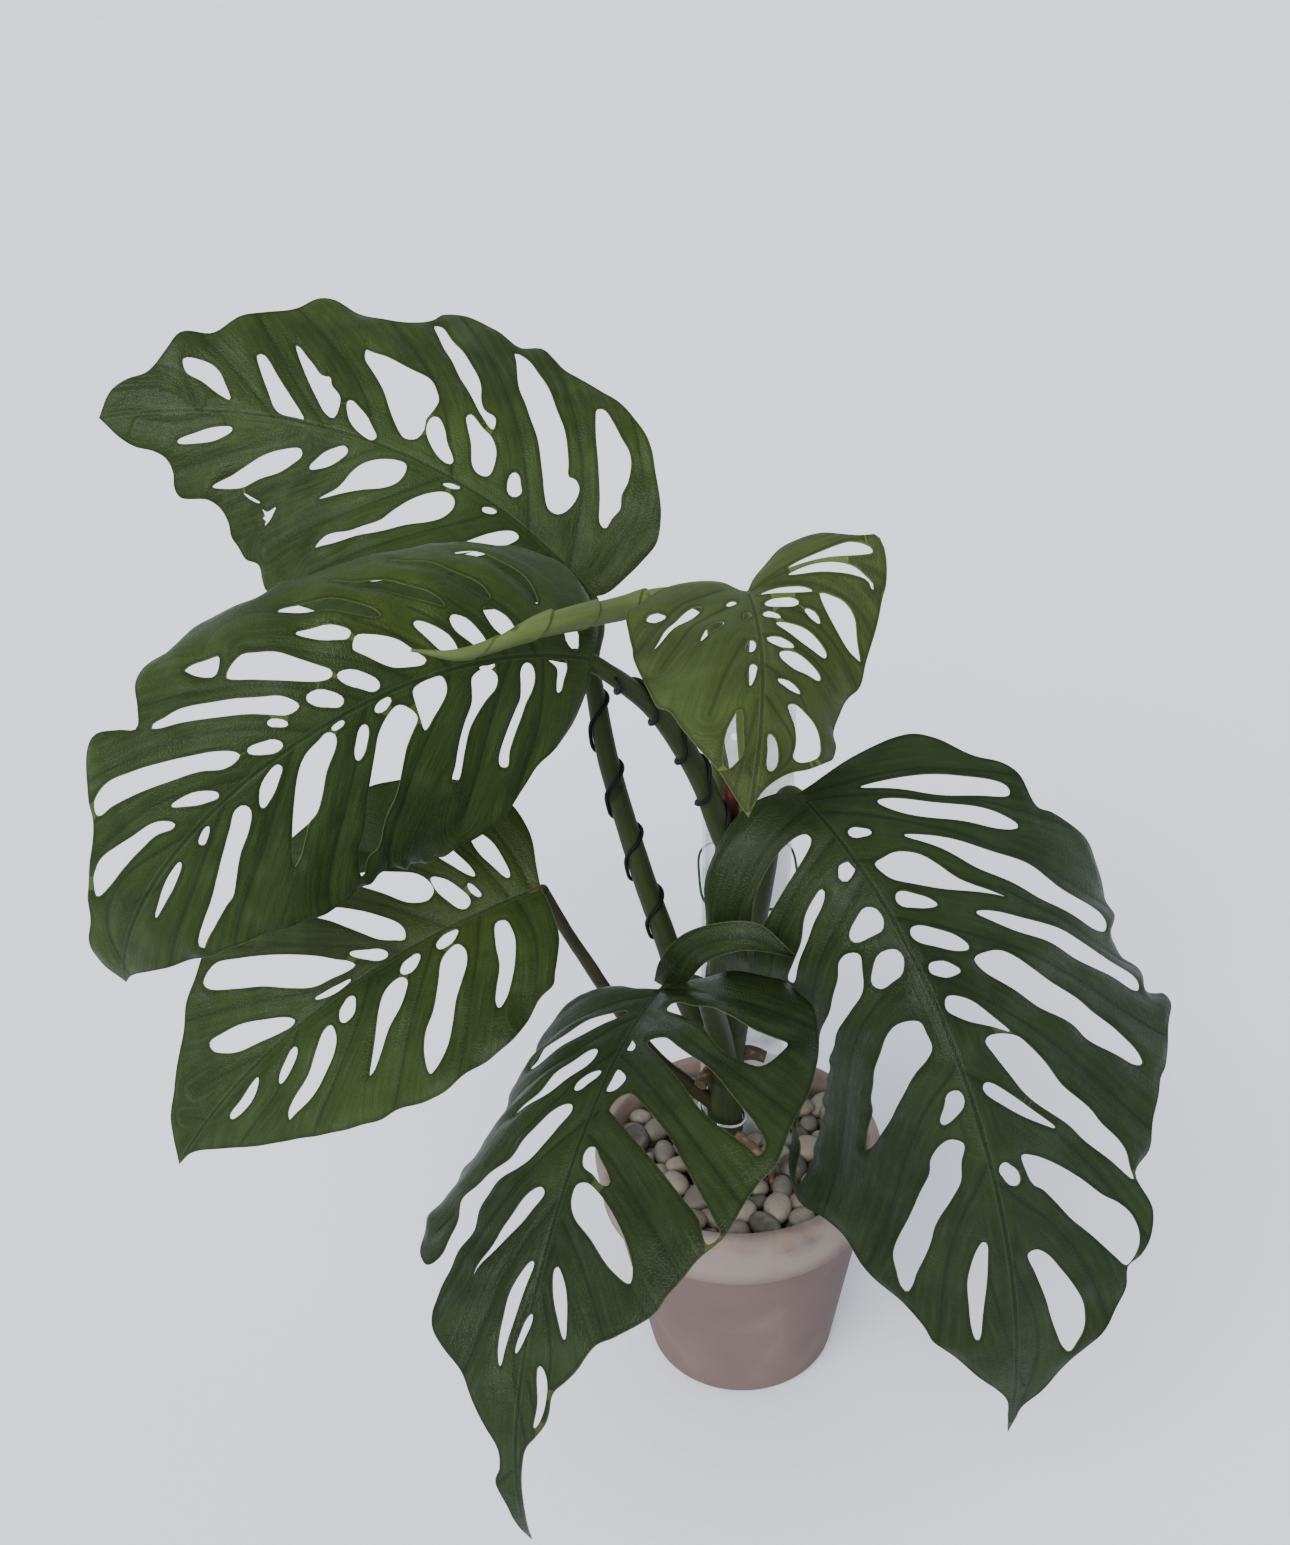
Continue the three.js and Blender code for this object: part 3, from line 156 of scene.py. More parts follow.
# The leaves' drawings. a runs from the base of the blade to its tip, b across it, minus on
# the left. left and right are the margin. A hole is a slot: its inner end, its middle, its
# outer end, and its width near either end. heading, rise and roll turn the leaf, droop,
# sway and twist bend it, and each half has its fold at the midrib and its curl per 100 mm.
# rib is how far the midrib lies from b = 0 along the blade, where it does.
LEAVES = [
  {
    "name": "leaf_upper_left", "length": 270, "size": 1, "base": [-63, 30, 458],
    "heading": -118, "rise": 47, "roll": -31, "droop": [42, 3], "sway": 54, "twist": -15,
    "foldLeft": [50, -4, -16], "curlLeft": [-5, -5, -20],
    "foldRight": [25, -6, 15], "curlRight": [5, -28, -5],
    "left": [
      [1, -10], [3, -22], [12, -45], [24, -64], [42, -78], [61, -85], [90, -89], [117, -88],
      [141, -87], [160, -85], [167, -83], [172, -78], [177, -72], [188, -70], [194, -65],
      [199, -60], [201, -54], [207, -47], [214, -43], [232, -42], [235, -37], [235, -30],
      [238, -23], [244, -19], [254, -16], [261, -11],
    ],
    "right": [
      [-3, 6], [-3, 20], [-2, 30], [0, 40], [8, 51], [20, 62], [30, 72], [40, 78], [60, 84],
      [75, 85], [84, 90], [92, 95], [98, 91], [104, 92], [120, 99], [130, 100], [134, 96],
      [136, 87], [141, 80], [148, 76], [162, 74], [175, 76], [181, 74], [187, 67], [199, 57],
      [208, 52], [218, 42], [230, 40], [236, 31], [245, 20], [254, 17], [262, 12],
    ],
    "holes": [
      [18, -1.5, 22, -3, 27, -3, 3.5, 2], [50, -28, 55, -33, 59, -37, 4, 3.5],
      [47, -6, 58, -27, 77, -45, 10, 5], [62, -1.5, 65, -4, 68, -6, 4, 4],
      [83, -2, 87, -3.5, 91, -5, 3, 2.5], [82, -9, 105, -33, 140, -58, 15, 6],
      [81, -61, 90, -64, 98, -66, 2.5, 3.5], [112, -5, 127, -21, 147, -35, 14, 5.5],
      [142, -7, 149, -14, 158, -21, 7, 6], [164, -16, 183, -25, 212, -36, 9, 6.5],
      [202, -8, 215, -12, 231, -15, 5.5, 5], [172, -46, 175, -47, 178, -48, 5, 4],
      [21, 26, 34, 49, 55, 74, 7, 11], [41, 17, 66, 49, 98, 86, 12, 9],
      [59, 10, 63, 14, 66, 20, 6.5, 5.5], [77, 11, 86, 23, 99, 37, 10, 6],
      [93, 7, 104, 14, 111, 26, 7, 8], [88, 34, 109, 57, 133, 84, 6, 8.5],
      [117, 9, 129, 31, 152, 51, 15, 14], [131, 2, 141, 8, 150, 18, 7, 7],
      [154, 8, 166, 22, 182, 42, 8, 5], [169, 2, 183, 14, 196, 32, 7, 7],
      [205, 7, 215, 18, 228, 26, 5, 8], [182, -42, 188, -40.6, 193, -38.4, 1.2, 1],
    ],
    "stalk": [[-62, 26, 445], [-66, 22, 428], [-64, 18, 408], [-60, 12, 378], [-53, 8, 345],
      [-45, 4, 312], [-36, 2, 279], [-30, 1, 255], [-22, 0, 228], [-12, 0, 200]],
    "stalkRadius": [3.6, 5, 5.5, 6, 6.5],
  },
  {
    "name": "leaf_middle_left", "length": 303, "size": 1, "base": [-63, -61, 467],
    "heading": -48, "rise": 28, "roll": -27, "droop": [114, 137], "sway": 18, "twist": -19,
    "foldLeft": [-55, -45, -10], "curlLeft": [-21, -47, -16],
    "foldRight": [47, 43, 33], "curlRight": [-116, -120, -36],
    "left": [
      [-1, -8], [0, -22], [2, -30], [8, -38], [18, -48], [22, -60], [27, -72], [40, -85],
      [50, -92], [64, -98], [80, -106], [92, -108], [104, -109], [116, -107], [130, -102],
      [152, -88], [172, -80], [194, -75], [208, -66], [220, -58], [234, -47], [248, -37],
      [260, -28], [272, -19], [284, -9], [294, -3],
    ],
    "right": [
      [-3, 10], [-3, 24], [2, 42], [10, 58], [25, 72], [50, 80], [80, 84], [110, 84],
      [140, 82], [165, 76], [178, 66], [182, 54], [186, 46], [193, 53], [201, 58], [212, 50],
      [218, 42], [222, 34], [230, 28], [240, 25], [252, 21], [262, 17], [280, 15], [290, 10],
    ],
    "holes": [
      [20, -2.5, 17, -8, 17, -16, 7, 3], [37, -3, 39, -25, 42, -49, 9, 7],
      [55, -5, 68, -24, 77, -51, 11, 4], [52, -2, 56, -3, 60, -2, 2, 2],
      [84, -3, 85, -11, 90, -22, 14, 7], [99, -8, 123, -43, 168, -73, 15, 8.5],
      [115, -8, 120, -15, 125, -21, 5, 4.5], [101, -2.5, 105, -4, 109, -5, 4, 4],
      [122, -2.5, 125, -3, 128, -3, 2.5, 2.5], [131, -5, 157, -27, 185, -42, 12, 6],
      [153, -3.5, 162, -7.5, 171, -13, 5.5, 5], [175, -9, 206, -21, 249, -28, 8, 3.5],
      [192, -3, 197, -4.5, 201, -6, 2.5, 3], [213, -4, 229, -6, 245, -7.5, 3.5, 2.5],
      [9, 3, 12, 8, 13, 14, 6, 7], [42, 7, 46, 14, 52, 22, 7, 7],
      [56, 5, 61, 13, 67, 21, 6, 7], [69, 5, 74, 13, 81, 23, 6, 6],
      [84, 6, 94, 15, 105, 25, 10, 11], [105, 27, 111, 32, 121, 39, 6, 5],
      [104, 3, 109, 9, 116, 15, 6, 6], [118, 16, 133, 29, 148, 42, 8, 12],
      [152, 46, 155, 49, 160, 53, 7, 6], [119, 4, 124, 9, 130, 13, 6, 6],
      [134, 12, 155, 28, 181, 43, 8, 7], [141, 8, 144, 11, 147, 13, 3, 3],
      [147, 3, 152, 5, 159, 9, 5, 5], [162, 10, 185, 24, 215, 36, 8, 8],
      [179, 3, 186, 8, 195, 13, 5, 4], [200, 8, 226, 16, 255, 15, 6, 6],
      [28, 22, 34, 40, 48, 58, 5, 5], [48, 26, 58, 42, 76, 58, 5, 5],
      [68, 26, 82, 42, 100, 56, 5, 5], [92, 30, 104, 42, 122, 54, 5, 5],
    ],
    "stalk": [[-55, -56, 457], [-49, -50, 449], [-36, -40, 431], [-23, -30, 404],
      [-14, -23, 380], [-6, -18, 351], [1, -15, 330], [3, -10, 300], [2, -6, 275]],
    "stalkRadius": [3.6, 5, 5.5, 6, 6],
  },
  {
    "name": "leaf_lower_left", "length": 230, "size": 1, "base": [-93, -60, 351],
    "heading": -76, "rise": -12, "roll": -22, "droop": [34, 56], "sway": 15, "twist": -10,
    "foldLeft": [3, 7, -8], "curlLeft": [-15, -12, -10],
    "foldRight": [23, 26, 11], "curlRight": [-23, -18, -19],
    "left": [
      [-1, -8], [-1, -17], [0, -28], [5, -40], [8, -46], [11, -52], [20, -56], [30, -64],
      [40, -70], [52, -72], [64, -73], [78, -75], [88, -74], [100, -70], [112, -68],
      [124, -63], [140, -56], [160, -44], [180, -32], [200, -17], [214, -6], [221, -2],
    ],
    "right": [
      [-2, 12], [-4, 22], [-4, 30], [-1, 43], [8, 56], [25, 70], [52, 79], [80, 77],
      [110, 71], [132, 64], [150, 57], [160, 50], [170, 44], [182, 36], [192, 29], [202, 23],
      [214, 17], [221, 10],
    ],
    "holes": [
      [23, -9, 28, -30, 38, -51, 9, 7], [46, -11, 62, -37, 80, -64, 12, 8.5],
      [43, -3, 49, -5.5, 55, -7, 6, 7], [64, -5, 69, -8, 75, -10, 6, 7],
      [76, -12, 90, -27, 108, -47, 9, 5.5], [101, -5, 105, -10, 110, -15, 7, 7.5],
      [117, -11, 132, -26, 157, -34, 10, 8], [137, -8, 144, -13, 153, -17, 5.5, 5.5],
      [162, -6, 174, -10, 187, -9, 5.5, 5.5], [12, 10, 15, 22, 20, 38, 5, 7],
      [26, 17, 31, 27, 38, 40, 4, 6], [27, 7, 29, 11, 30, 15, 3, 2.5],
      [34, 5, 39, 15, 44, 25, 8, 6], [47, 17, 57, 28, 74, 42, 12, 10],
      [66, 6, 80, 21, 98, 40, 8, 7], [77, 3, 84, 7, 92, 13, 5, 4],
      [93, 9, 123, 27, 156, 47, 12, 12], [98, 2.5, 108, 3, 117, 5, 2.5, 2.5],
      [131, 3, 151, 12, 172, 22, 8, 9.5],
    ],
    "stalk": [[-92, -55, 345], [-84, -45, 317], [-74, -35, 288], [-64, -28, 261],
      [-51, -20, 229], [-41, -14, 209], [-26, -6, 186], [-12, -2, 168]],
    "stalkRadius": [2.6, 3.2, 3.5, 4],
  },
  {
    "name": "leaf_front", "length": 299, "size": 0.945, "base": [-39, -115, 330],
    "heading": -17, "rise": 15, "roll": 0, "droop": [84, 165], "sway": -12, "twist": 6,
    "rib": [0, 3, 3.5, 3.5, 2, 0], "foldLeft": [23, 29, 10], "curlLeft": [-35, -29, -4],
    "foldRight": [4, -8, 23], "curlRight": [-94, -47, 9],
    "left": [
      [-4, -16], [-8, -33], [-2, -50], [9, -64], [30, -80], [55, -90], [76, -94], [100, -92],
      [113, -91], [120, -86], [136, -81], [141, -78], [150, -69], [160, -62], [166, -59],
      [172, -52], [178, -43], [183, -34], [192, -28], [200, -21], [206, -16], [214, -15],
      [220, -13], [228, -8], [236, -3], [250, -1], [275, -1],
    ],
    "right": [
      [2, 6], [3, 12], [-1, 21], [-5, 33], [0, 50], [15, 66], [40, 76], [70, 82], [100, 86],
      [124, 90], [138, 92], [150, 90], [160, 87], [168, 80], [174, 71], [176, 64], [168, 59],
      [150, 61], [137, 62], [131, 60], [120, 48], [111, 37], [97, 28], [89, 20], [89, 15],
      [93, 13], [102, 17], [114, 24], [121, 32], [131, 41], [142, 45], [158, 47], [176, 51],
      [193, 54], [200, 50], [206, 42], [213, 32], [222, 25], [232, 16], [240, 10], [250, 9],
      [258, 11], [270, 7], [285, 4],
    ],
    "holes": [
      [24, -13, 44, -40, 62, -72, 8, 14], [52, -2, 55, -3.5, 58, -5, 3, 4],
      [55, -13, 85, -45, 111, -84, 12, 9], [88, -9, 113, -40, 139, -71, 14, 8],
      [70, -2.5, 77, -4.5, 82, -8, 4, 7], [112, -3, 119, -12, 127, -20, 8, 7],
      [131, -4, 141, -21, 158, -43, 13, 11], [161, -4, 172, -11, 185, -18, 7, 6],
      [199, -6, 210, -10, 224, -7, 6, 4], [26, 9, 39, 33, 46, 59, 9, 9],
      [55, 15, 73, 29, 86, 52, 10, 4.5], [70, 7, 75, 12, 81, 16, 5, 6],
      [131, 13, 148, 24, 174, 36, 8, 3], [161, 8, 181, 13, 205, 13, 5.5, 4.5],
      [181, 3, 189, 5, 198, 7, 3, 2.5],
    ],
    "stalk": [[-32, -106, 325], [-24, -88, 312], [-17, -60, 283], [-12, -38, 250],
      [-8, -20, 218], [-6, -6, 190]],
    "stalkRadius": [3.6, 5, 6, 6.5],
  },
  {
    "name": "leaf_right", "length": 341, "size": 1.037, "base": [24, -86, 410],
    "heading": 31, "rise": -11, "roll": 3, "droop": [131, 56], "sway": -13, "twist": 28,
    "foldLeft": [14, -18, 14], "curlLeft": [-9, -19, 32],
    "foldRight": [-5, -44, 15], "curlRight": [-108, -39, 10],
    "left": [
      [0, -8], [-2, -30], [0, -48], [3, -58], [8, -65], [20, -79], [26, -89], [32, -94],
      [46, -99], [50, -108], [61, -123], [70, -129], [84, -133], [96, -139], [107, -142],
      [112, -137], [117, -132], [132, -134], [145, -144], [160, -141], [165, -147],
      [169, -153], [173, -150], [177, -140], [184, -128], [191, -118], [193, -108],
      [198, -98], [206, -90], [213, -83], [218, -72], [235, -73], [243, -69], [250, -62],
      [252, -55], [260, -52], [272, -43], [282, -31], [288, -23], [300, -15], [310, -8],
      [317, -4], [328, -2],
    ],
    "right": [
      [-4, 5], [-8, 16], [-8, 28], [-4, 48], [3, 64], [14, 84], [28, 100], [48, 114],
      [72, 123], [110, 127], [156, 126], [190, 118], [212, 107], [220, 100], [224, 86],
      [229, 75], [240, 64], [248, 56], [256, 46], [264, 38], [272, 34], [282, 24], [290, 17],
      [300, 8], [310, 3], [325, 1.5],
    ],
    "holes": [
      [13, -23, 25, -54, 38, -86, 5, 9], [22, -25, 37, -50, 52, -83, 7.5, 7.5],
      [40, -26, 76, -77, 113, -127, 9, 13], [49, -6, 61, -29, 79, -56, 12, 5],
      [81, -38, 113, -91, 155, -135, 8, 11], [63, -6, 67, -13, 72, -22, 7, 5],
      [78, -4, 85, -15, 93, -27, 8, 6.5], [94, -4, 97, -11, 100, -18, 6.5, 5],
      [99, -29, 131, -65, 181, -102, 15, 12], [129, -16, 169, -45, 217, -67, 14, 9],
      [109, -4, 117, -15, 131, -30, 9, 5], [145, -7, 158, -19, 177, -36, 6, 4],
      [180, -16, 212, -41, 248, -57, 12, 16], [178, -4, 183, -7, 190, -11, 5.5, 6],
      [221, -9, 249, -20, 281, -23, 11, 12], [29, -5, 31, -9, 33, -14, 5, 4.5],
      [21, 9, 28, 38, 42, 72, 12, 8], [43, 18, 54, 40, 70, 72, 6, 5.5],
      [40, 3, 43, 5, 46, 9, 6, 6], [66, 3, 67, 10, 69, 19, 11, 9],
      [84, 3.5, 87, 12, 92, 20, 11, 10], [76, 21, 126, 82, 212, 101, 12, 14],
      [115, 9, 131, 33, 174, 60, 17, 8], [143, 5, 149, 8, 157, 16, 7, 6],
      [165, 10, 202, 34, 248, 46, 15, 12], [213, 9, 238, 15, 268, 16, 6.5, 6],
    ],
    "stalk": [[21, -80, 406], [16, -66, 386], [12, -48, 346], [8, -30, 300], [5, -16, 262],
      [1, -6, 235]],
    "stalkRadius": [4, 5.5, 6, 6.5],
  },
  {
    "name": "leaf_top", "length": 125, "size": 1, "base": [5, -60, 495],
    "heading": 6, "rise": 0, "roll": -6, "droop": [40, 60], "sway": -14, "twist": -3,
    "foldLeft": [46, -21, 10], "curlLeft": [-63, -73, -27],
    "foldRight": [6, -1, -2], "curlRight": [-71, -62, -29],
    "left": [
      [-7, -5], [-12, -13], [-16, -21], [-16, -28], [-14, -39], [-8, -47], [-2, -55],
      [1, -61], [9, -59], [15, -55], [31, -52], [40, -51], [46, -47], [53, -44], [66, -44],
      [74, -42], [84, -39], [90, -33], [98, -23], [104, -13], [112, -5], [119, -1.5],
    ],
    "right": [
      [-3, 4], [-10, 9], [-13, 16], [-14, 27], [-11, 40], [-5, 49], [2, 53], [20, 54],
      [36, 53], [50, 51], [60, 48], [72, 44], [77, 42], [80, 37], [90, 31], [100, 23],
      [108, 15], [114, 10], [120, 5],
    ],
    "holes": [
      [1, -20, 1, -40, 3, -56, 2, 3], [4, -18, 7, -38, 12, -54, 2.5, 3],
      [9, -6, 11, -17, 13, -26, 3, 2.5], [15, -5, 16, -12, 17, -19, 5, 4.5],
      [22, -3, 23, -7, 25, -10, 4, 3], [15, -29, 23, -38, 31, -48, 8, 7],
      [20, -21, 22, -24, 25, -27, 3, 3], [28, -8, 32, -20, 37, -31, 5.5, 6],
      [39, -3, 39, -9, 39, -15, 5.5, 5], [47, -8, 47, -18, 50, -28, 8, 6.5],
      [61, -7, 60.5, -13, 61, -19, 4, 4], [71, -14, 83, -24, 97, -17, 12, 8],
      [89, -4, 97, -6, 105, -5, 4.5, 4.5], [11, 7, 13, 9, 15, 11, 3, 2.5],
      [21, 2, 23, 3.5, 27, 5, 3, 2], [41, 3, 45, 4, 49, 5, 3.5, 3.5],
      [56, 3, 60, 4, 68, 5, 3, 2.5], [14, 22, 23, 33, 40, 44, 6, 2.5],
      [28, 14, 33, 19, 40, 24, 4, 2.5], [13, 37, 12, 41, 10, 45, 4, 5],
      [75, 8, 91, 11, 106, 12, 3, 5],
    ],
    "stalk": [[5.5, -48, 482], [5, -40, 463], [5, -32, 440], [4.5, -26, 415], [7, -19, 382],
      [8, -9, 348]],
    "stalkRadius": [2.2, 2.4, 3.4, 5],
  },
]

# Holes whose outline is not that of a slot, by their place in the list: a, b, a, b and so on.
TRACED_HOLES = {
    "leaf_upper_left": {
        5: [139, -58, 136, -51.5, 131, -48, 121.5, -44.5, 109.5, -36.5, 105.5, -28.5, 100, -19, 93,
            -11.5, 86.5, -8, 82, -9.5, 79.5, -14.5, 81, -22, 86.5, -28, 97, -34, 110, -43.5, 125.5,
            -51, 136, -56.5],
        7: [147, -34.5, 140, -27.5, 137.5, -23, 136, -18.5, 132, -12, 125, -7, 116.5, -4, 112, -4,
            110, -8, 111, -14.5, 116, -19.5, 126, -24, 136.5, -29],
        9: [211.5, -36.5, 201, -30.5, 192.5, -25, 183.5, -19, 174.5, -15, 165, -13, 163.5, -16, 167,
            -20.5, 173.5, -26, 184, -30.5, 195, -36],
        11: [179.5, -45, 176.5, -46, 174.5, -45, 171.5, -42.5, 172.5, -46, 173.5, -49, 176.5, -53,
            176, -50, 178.5, -49.5, 177, -48],
        12: [55, 69.5, 56, 72.5, 54, 74, 48, 71, 40, 65.5, 34.5, 62.5, 31, 59, 26.5, 50.5, 24.5,
            43.5, 21, 38.5, 20.5, 32.5, 19.5, 26.5, 22.5, 26.5, 31.5, 37, 45.5, 54.5],
        13: [98.5, 85, 97, 85.5, 84, 76, 72, 64, 59, 51, 51, 40.5, 46.5, 34, 44, 35, 40.5, 33.5,
            38.5, 30.5, 37, 24, 37.5, 18.5, 39.5, 15.5, 44, 15, 49.5, 19.5, 57.5, 29, 69, 42.5,
            79.5, 53.5, 89, 65.5, 96, 79.5],
        15: [98, 35.5, 90, 31.5, 85, 30, 80, 25.5, 76.5, 18.5, 75, 11.5, 76.5, 9.5, 80.5, 9, 84.5,
            11.5, 90.5, 21, 96, 28, 99, 33],
        17: [133.5, 82.5, 131, 84, 124.5, 78, 114, 67.5, 107, 60.5, 101.5, 53, 97.5, 45, 94, 41.5,
            88.5, 40.5, 86, 33.5, 87.5, 33.5, 95.5, 39, 106, 48, 119, 62.5, 128, 74],
        18: [153.5, 51.5, 151, 51, 140.5, 48.5, 130, 47, 122, 46, 118, 42.5, 114, 36, 113.5, 29.5,
            114, 22, 112.5, 17, 112.5, 12.5, 114, 9.5, 118.5, 8, 122.5, 10.5, 130.5, 19, 139, 30.5,
            148, 40, 152, 45],
        20: [182, 42, 180.5, 41.5, 172.5, 33, 166, 27, 162.5, 27.5, 160.5, 23.5, 155, 18.5, 153.5,
            14.5, 153, 7.5, 154, 5.5, 158.5, 7.5, 164.5, 14, 173.5, 26],
        21: [196.5, 31.5, 194.5, 32.5, 191.5, 30, 186.5, 23.5, 178, 13.5, 169, 4, 167, 1.5, 171.5,
            1.5, 179, 2, 182.5, 4.5, 187.5, 12.5, 193, 22.5],
        22: [228.5, 26, 226, 27, 217.5, 25, 212, 20.5, 208.5, 14.5, 204.5, 6, 210.5, 8.5, 219.5, 15,
            227, 19.5],
    },
    "leaf_middle_left": {
        0: [24.5, -2, 20, -2, 15, -1.5, 13.5, -5, 14.5, -10, 15, -15, 17, -16, 18.5, -11.5, 19.5,
            -5.5],
        1: [47, -44, 46.5, -38.5, 44, -31, 40.5, -23, 38.5, -18.5, 39, -12, 39.5, -6, 37.5, -3, 34,
            -3.5, 31, -9, 31.5, -15, 34, -20.5, 35.5, -26.5, 38, -34.5, 40, -42.5, 39.5, -49, 42.5,
            -49.5, 45.5, -48],
        2: [78.5, -50, 76, -42.5, 73, -33, 69, -24, 65, -16.5, 64.5, -11, 64, -5.5, 61, -3.5, 56,
            -3, 52, -6, 51, -8.5, 52, -12.5, 56.5, -16.5, 61, -21.5, 66, -28.5, 69, -38.5, 73,
            -51.5],
        4: [90, -22, 91, -15, 91.5, -8.5, 91, -3, 88, -1.5, 82, -1, 77.5, -1.5, 76, -5.5, 76.5, -9,
            80, -13.5, 85, -18, 88.5, -21.5],
        5: [167.5, -72.5, 142, -52, 126.5, -35.5, 117, -22.5, 111, -14, 104.5, -8.5, 99, -6.5, 94.5,
            -10, 92, -15.5, 95.5, -20.5, 100.5, -26.5, 104.5, -32.5, 110, -39.5, 119.5, -49.5, 133,
            -62, 149.5, -69, 164.5, -73.5],
        9: [181, -38, 173, -31.5, 161, -21.5, 152, -13, 146, -8, 141, -5.5, 134.5, -4, 130.5, -3,
            128, -5, 128.5, -8, 131.5, -11.5, 139, -17, 147.5, -24.5, 156, -30.5, 162, -32.5, 168.5,
            -36, 179.5, -40.5, 185, -42],
        11: [248.5, -28, 220.5, -22.5, 199, -15, 187.5, -10, 179.5, -6, 175.5, -6.5, 174.5, -9, 176,
            -11.5, 182, -15.5, 194.5, -20.5, 205.5, -25.5, 214.5, -29, 221.5, -29.5, 238.5, -30,
            249, -30],
        18: [106.5, 21.5, 105.5, 23.5, 103, 26, 98, 24, 92.5, 20.5, 89, 17.5, 87, 14.5, 84, 10, 82,
            7, 83.5, 5.5, 90, 6.5, 95.5, 8.5, 99.5, 12, 103, 16.5],
        21: [149.5, 38, 141, 42.5, 136.5, 40, 130, 34.5, 126, 29.5, 120.5, 22.5, 117, 17.5, 118,
            15.5, 121, 15.5, 129, 20, 141.5, 30],
        22: [160.5, 52.5, 157.5, 53.5, 153, 52, 148, 48.5, 152.5, 42, 157.5, 46, 160, 50.5],
        24: [181.5, 41.5, 180, 42.5, 175.5, 41, 169, 38.5, 159.5, 33.5, 151.5, 28.5, 143.5, 23,
            137.5, 19, 134.5, 15, 133.5, 12, 135.5, 11, 139.5, 11.5, 143.5, 14.5, 149.5, 19.5,
            161.5, 27.5, 173, 35],
        27: [217, 39, 212.5, 39.5, 205, 38, 197, 34, 186.5, 28, 176, 21.5, 168, 16.5, 163, 12, 162,
            9.5, 165.5, 8.5, 170.5, 9.5, 177, 14.5, 187, 19.5, 199, 25.5, 210.5, 30.5, 219.5, 34],
        29: [243.5, 21.5, 238, 22.5, 230.5, 22.5, 223, 20, 214.5, 17, 206, 14.5, 201.5, 11.5, 199.5,
            8, 200, 7, 202.5, 7, 208, 10, 217, 11.5, 228, 13, 240.5, 14.5, 248.5, 16.5, 250, 17.5],
    },
    "leaf_lower_left": {
        0: [25.5, -9.5, 23, -9, 20.5, -10.5, 19.5, -16.5, 20, -23, 24, -33.5, 29, -42, 34, -49,
            38.5, -52.5, 39, -49, 36, -41.5, 31, -31.5, 29, -20],
        1: [80.5, -64.5, 80, -57.5, 75, -46, 68, -37, 60.5, -24.5, 55, -14.5, 50, -11.5, 45.5, -11,
            43, -16, 44.5, -23, 50.5, -32, 56, -38.5, 61.5, -47, 69, -57.5, 76.5, -63.5],
        4: [108, -47, 105, -41.5, 98, -30.5, 91, -20, 86, -14.5, 80.5, -12, 75.5, -12, 73.5, -15.5,
            75.5, -19.5, 81.5, -26.5, 90.5, -33, 99, -40.5, 106, -46.5],
        6: [157, -35, 156, -32.5, 148.5, -29.5, 137, -24.5, 128, -17.5, 120, -11.5, 116, -11.5, 115,
            -15, 116, -20, 120, -25, 127, -29.5, 136, -34, 147.5, -36],
        14: [96.5, 37, 89, 36, 79, 28, 71, 19.5, 66, 13, 65, 8.5, 67, 5, 71, 7, 77, 11, 83, 18.5,
            91.5, 30.5],
        16: [156, 47, 151.5, 49.5, 144.5, 49, 135.5, 43.5, 121, 33.5, 105, 20.5, 98.5, 14, 94.5,
            10.5, 92.5, 7, 96.5, 6.5, 105, 8, 114.5, 10, 124.5, 17, 133, 25, 143.5, 32.5, 155.5,
            43],
        18: [170.5, 23.5, 162, 22, 153, 19, 143.5, 13.5, 132.5, 6, 131, 3, 133.5, 2, 141.5, 3.5,
            151, 6.5, 162.5, 10.5, 168.5, 15, 172, 20],
    },
    "leaf_front": {
        0: [28.5, -11.5, 24, -12.5, 25, -18, 29.5, -24.5, 33, -35, 41, -45, 50, -58, 54.5, -70,
            57.5, -77, 65, -77.5, 70.5, -75, 73.5, -70.5, 70.5, -60.5, 61.5, -47.5, 46.5, -33, 36.5,
            -21],
        1: [46, -0.5, 52.5, -4, 58, -5, 56, -0.5, 51, -0.5],
        2: [54, -11, 53, -18.5, 60, -28, 72.5, -44.5, 81.5, -56, 90, -66.5, 99.5, -78, 107.5, -85,
            111, -83.5, 108.5, -78, 103, -65.5, 94, -51, 82, -38, 68.5, -23.5],
        3: [92.5, -6, 87.5, -8.5, 86, -14.5, 92, -23.5, 99, -32.5, 110, -46, 121, -57.5, 128, -65.5,
            135.5, -74, 139, -77.5, 143, -73.5, 135.5, -67, 128.5, -56, 117.5, -40, 106, -23, 96.5,
            -10.5],
        4: [69, -0.5, 70.5, -3, 77, -8.5, 82, -6, 81.5, 0.5, 74.5, 0.5],
        5: [113.5, -0.5, 110.5, -2, 111, -6, 116, -11, 123, -18.5, 127, -21, 127.5, -17.5, 123, -10,
            119, -2.5],
        6: [134, -2, 127.5, -2, 126.5, -7.5, 130.5, -16.5, 140.5, -30.5, 149.5, -40.5, 156, -44.5,
            160, -44, 157, -33.5, 148.5, -20.5, 140.5, -6.5],
    },
    "leaf_right": {
        3: [46.5, -6.5, 45.5, -11.5, 45.5, -17.5, 49.5, -25.5, 57.5, -33.5, 67.5, -42.5, 77.5, -54,
            79.5, -57, 73, -43, 67, -29, 61, -18, 55.5, -9.5, 51, -7],
        8: [98, -27.5, 97.5, -36, 99.5, -43.5, 104.5, -49.5, 112.5, -56, 127, -70, 143, -84, 158,
            -95, 173, -102, 182, -103.5, 179.5, -98, 161.5, -81, 141.5, -64.5, 125, -48.5, 111, -34,
            103.5, -28.5],
        9: [129.5, -15.5, 128.5, -19, 134, -32.5, 141.5, -38, 158.5, -46, 173.5, -54.5, 188.5, -63,
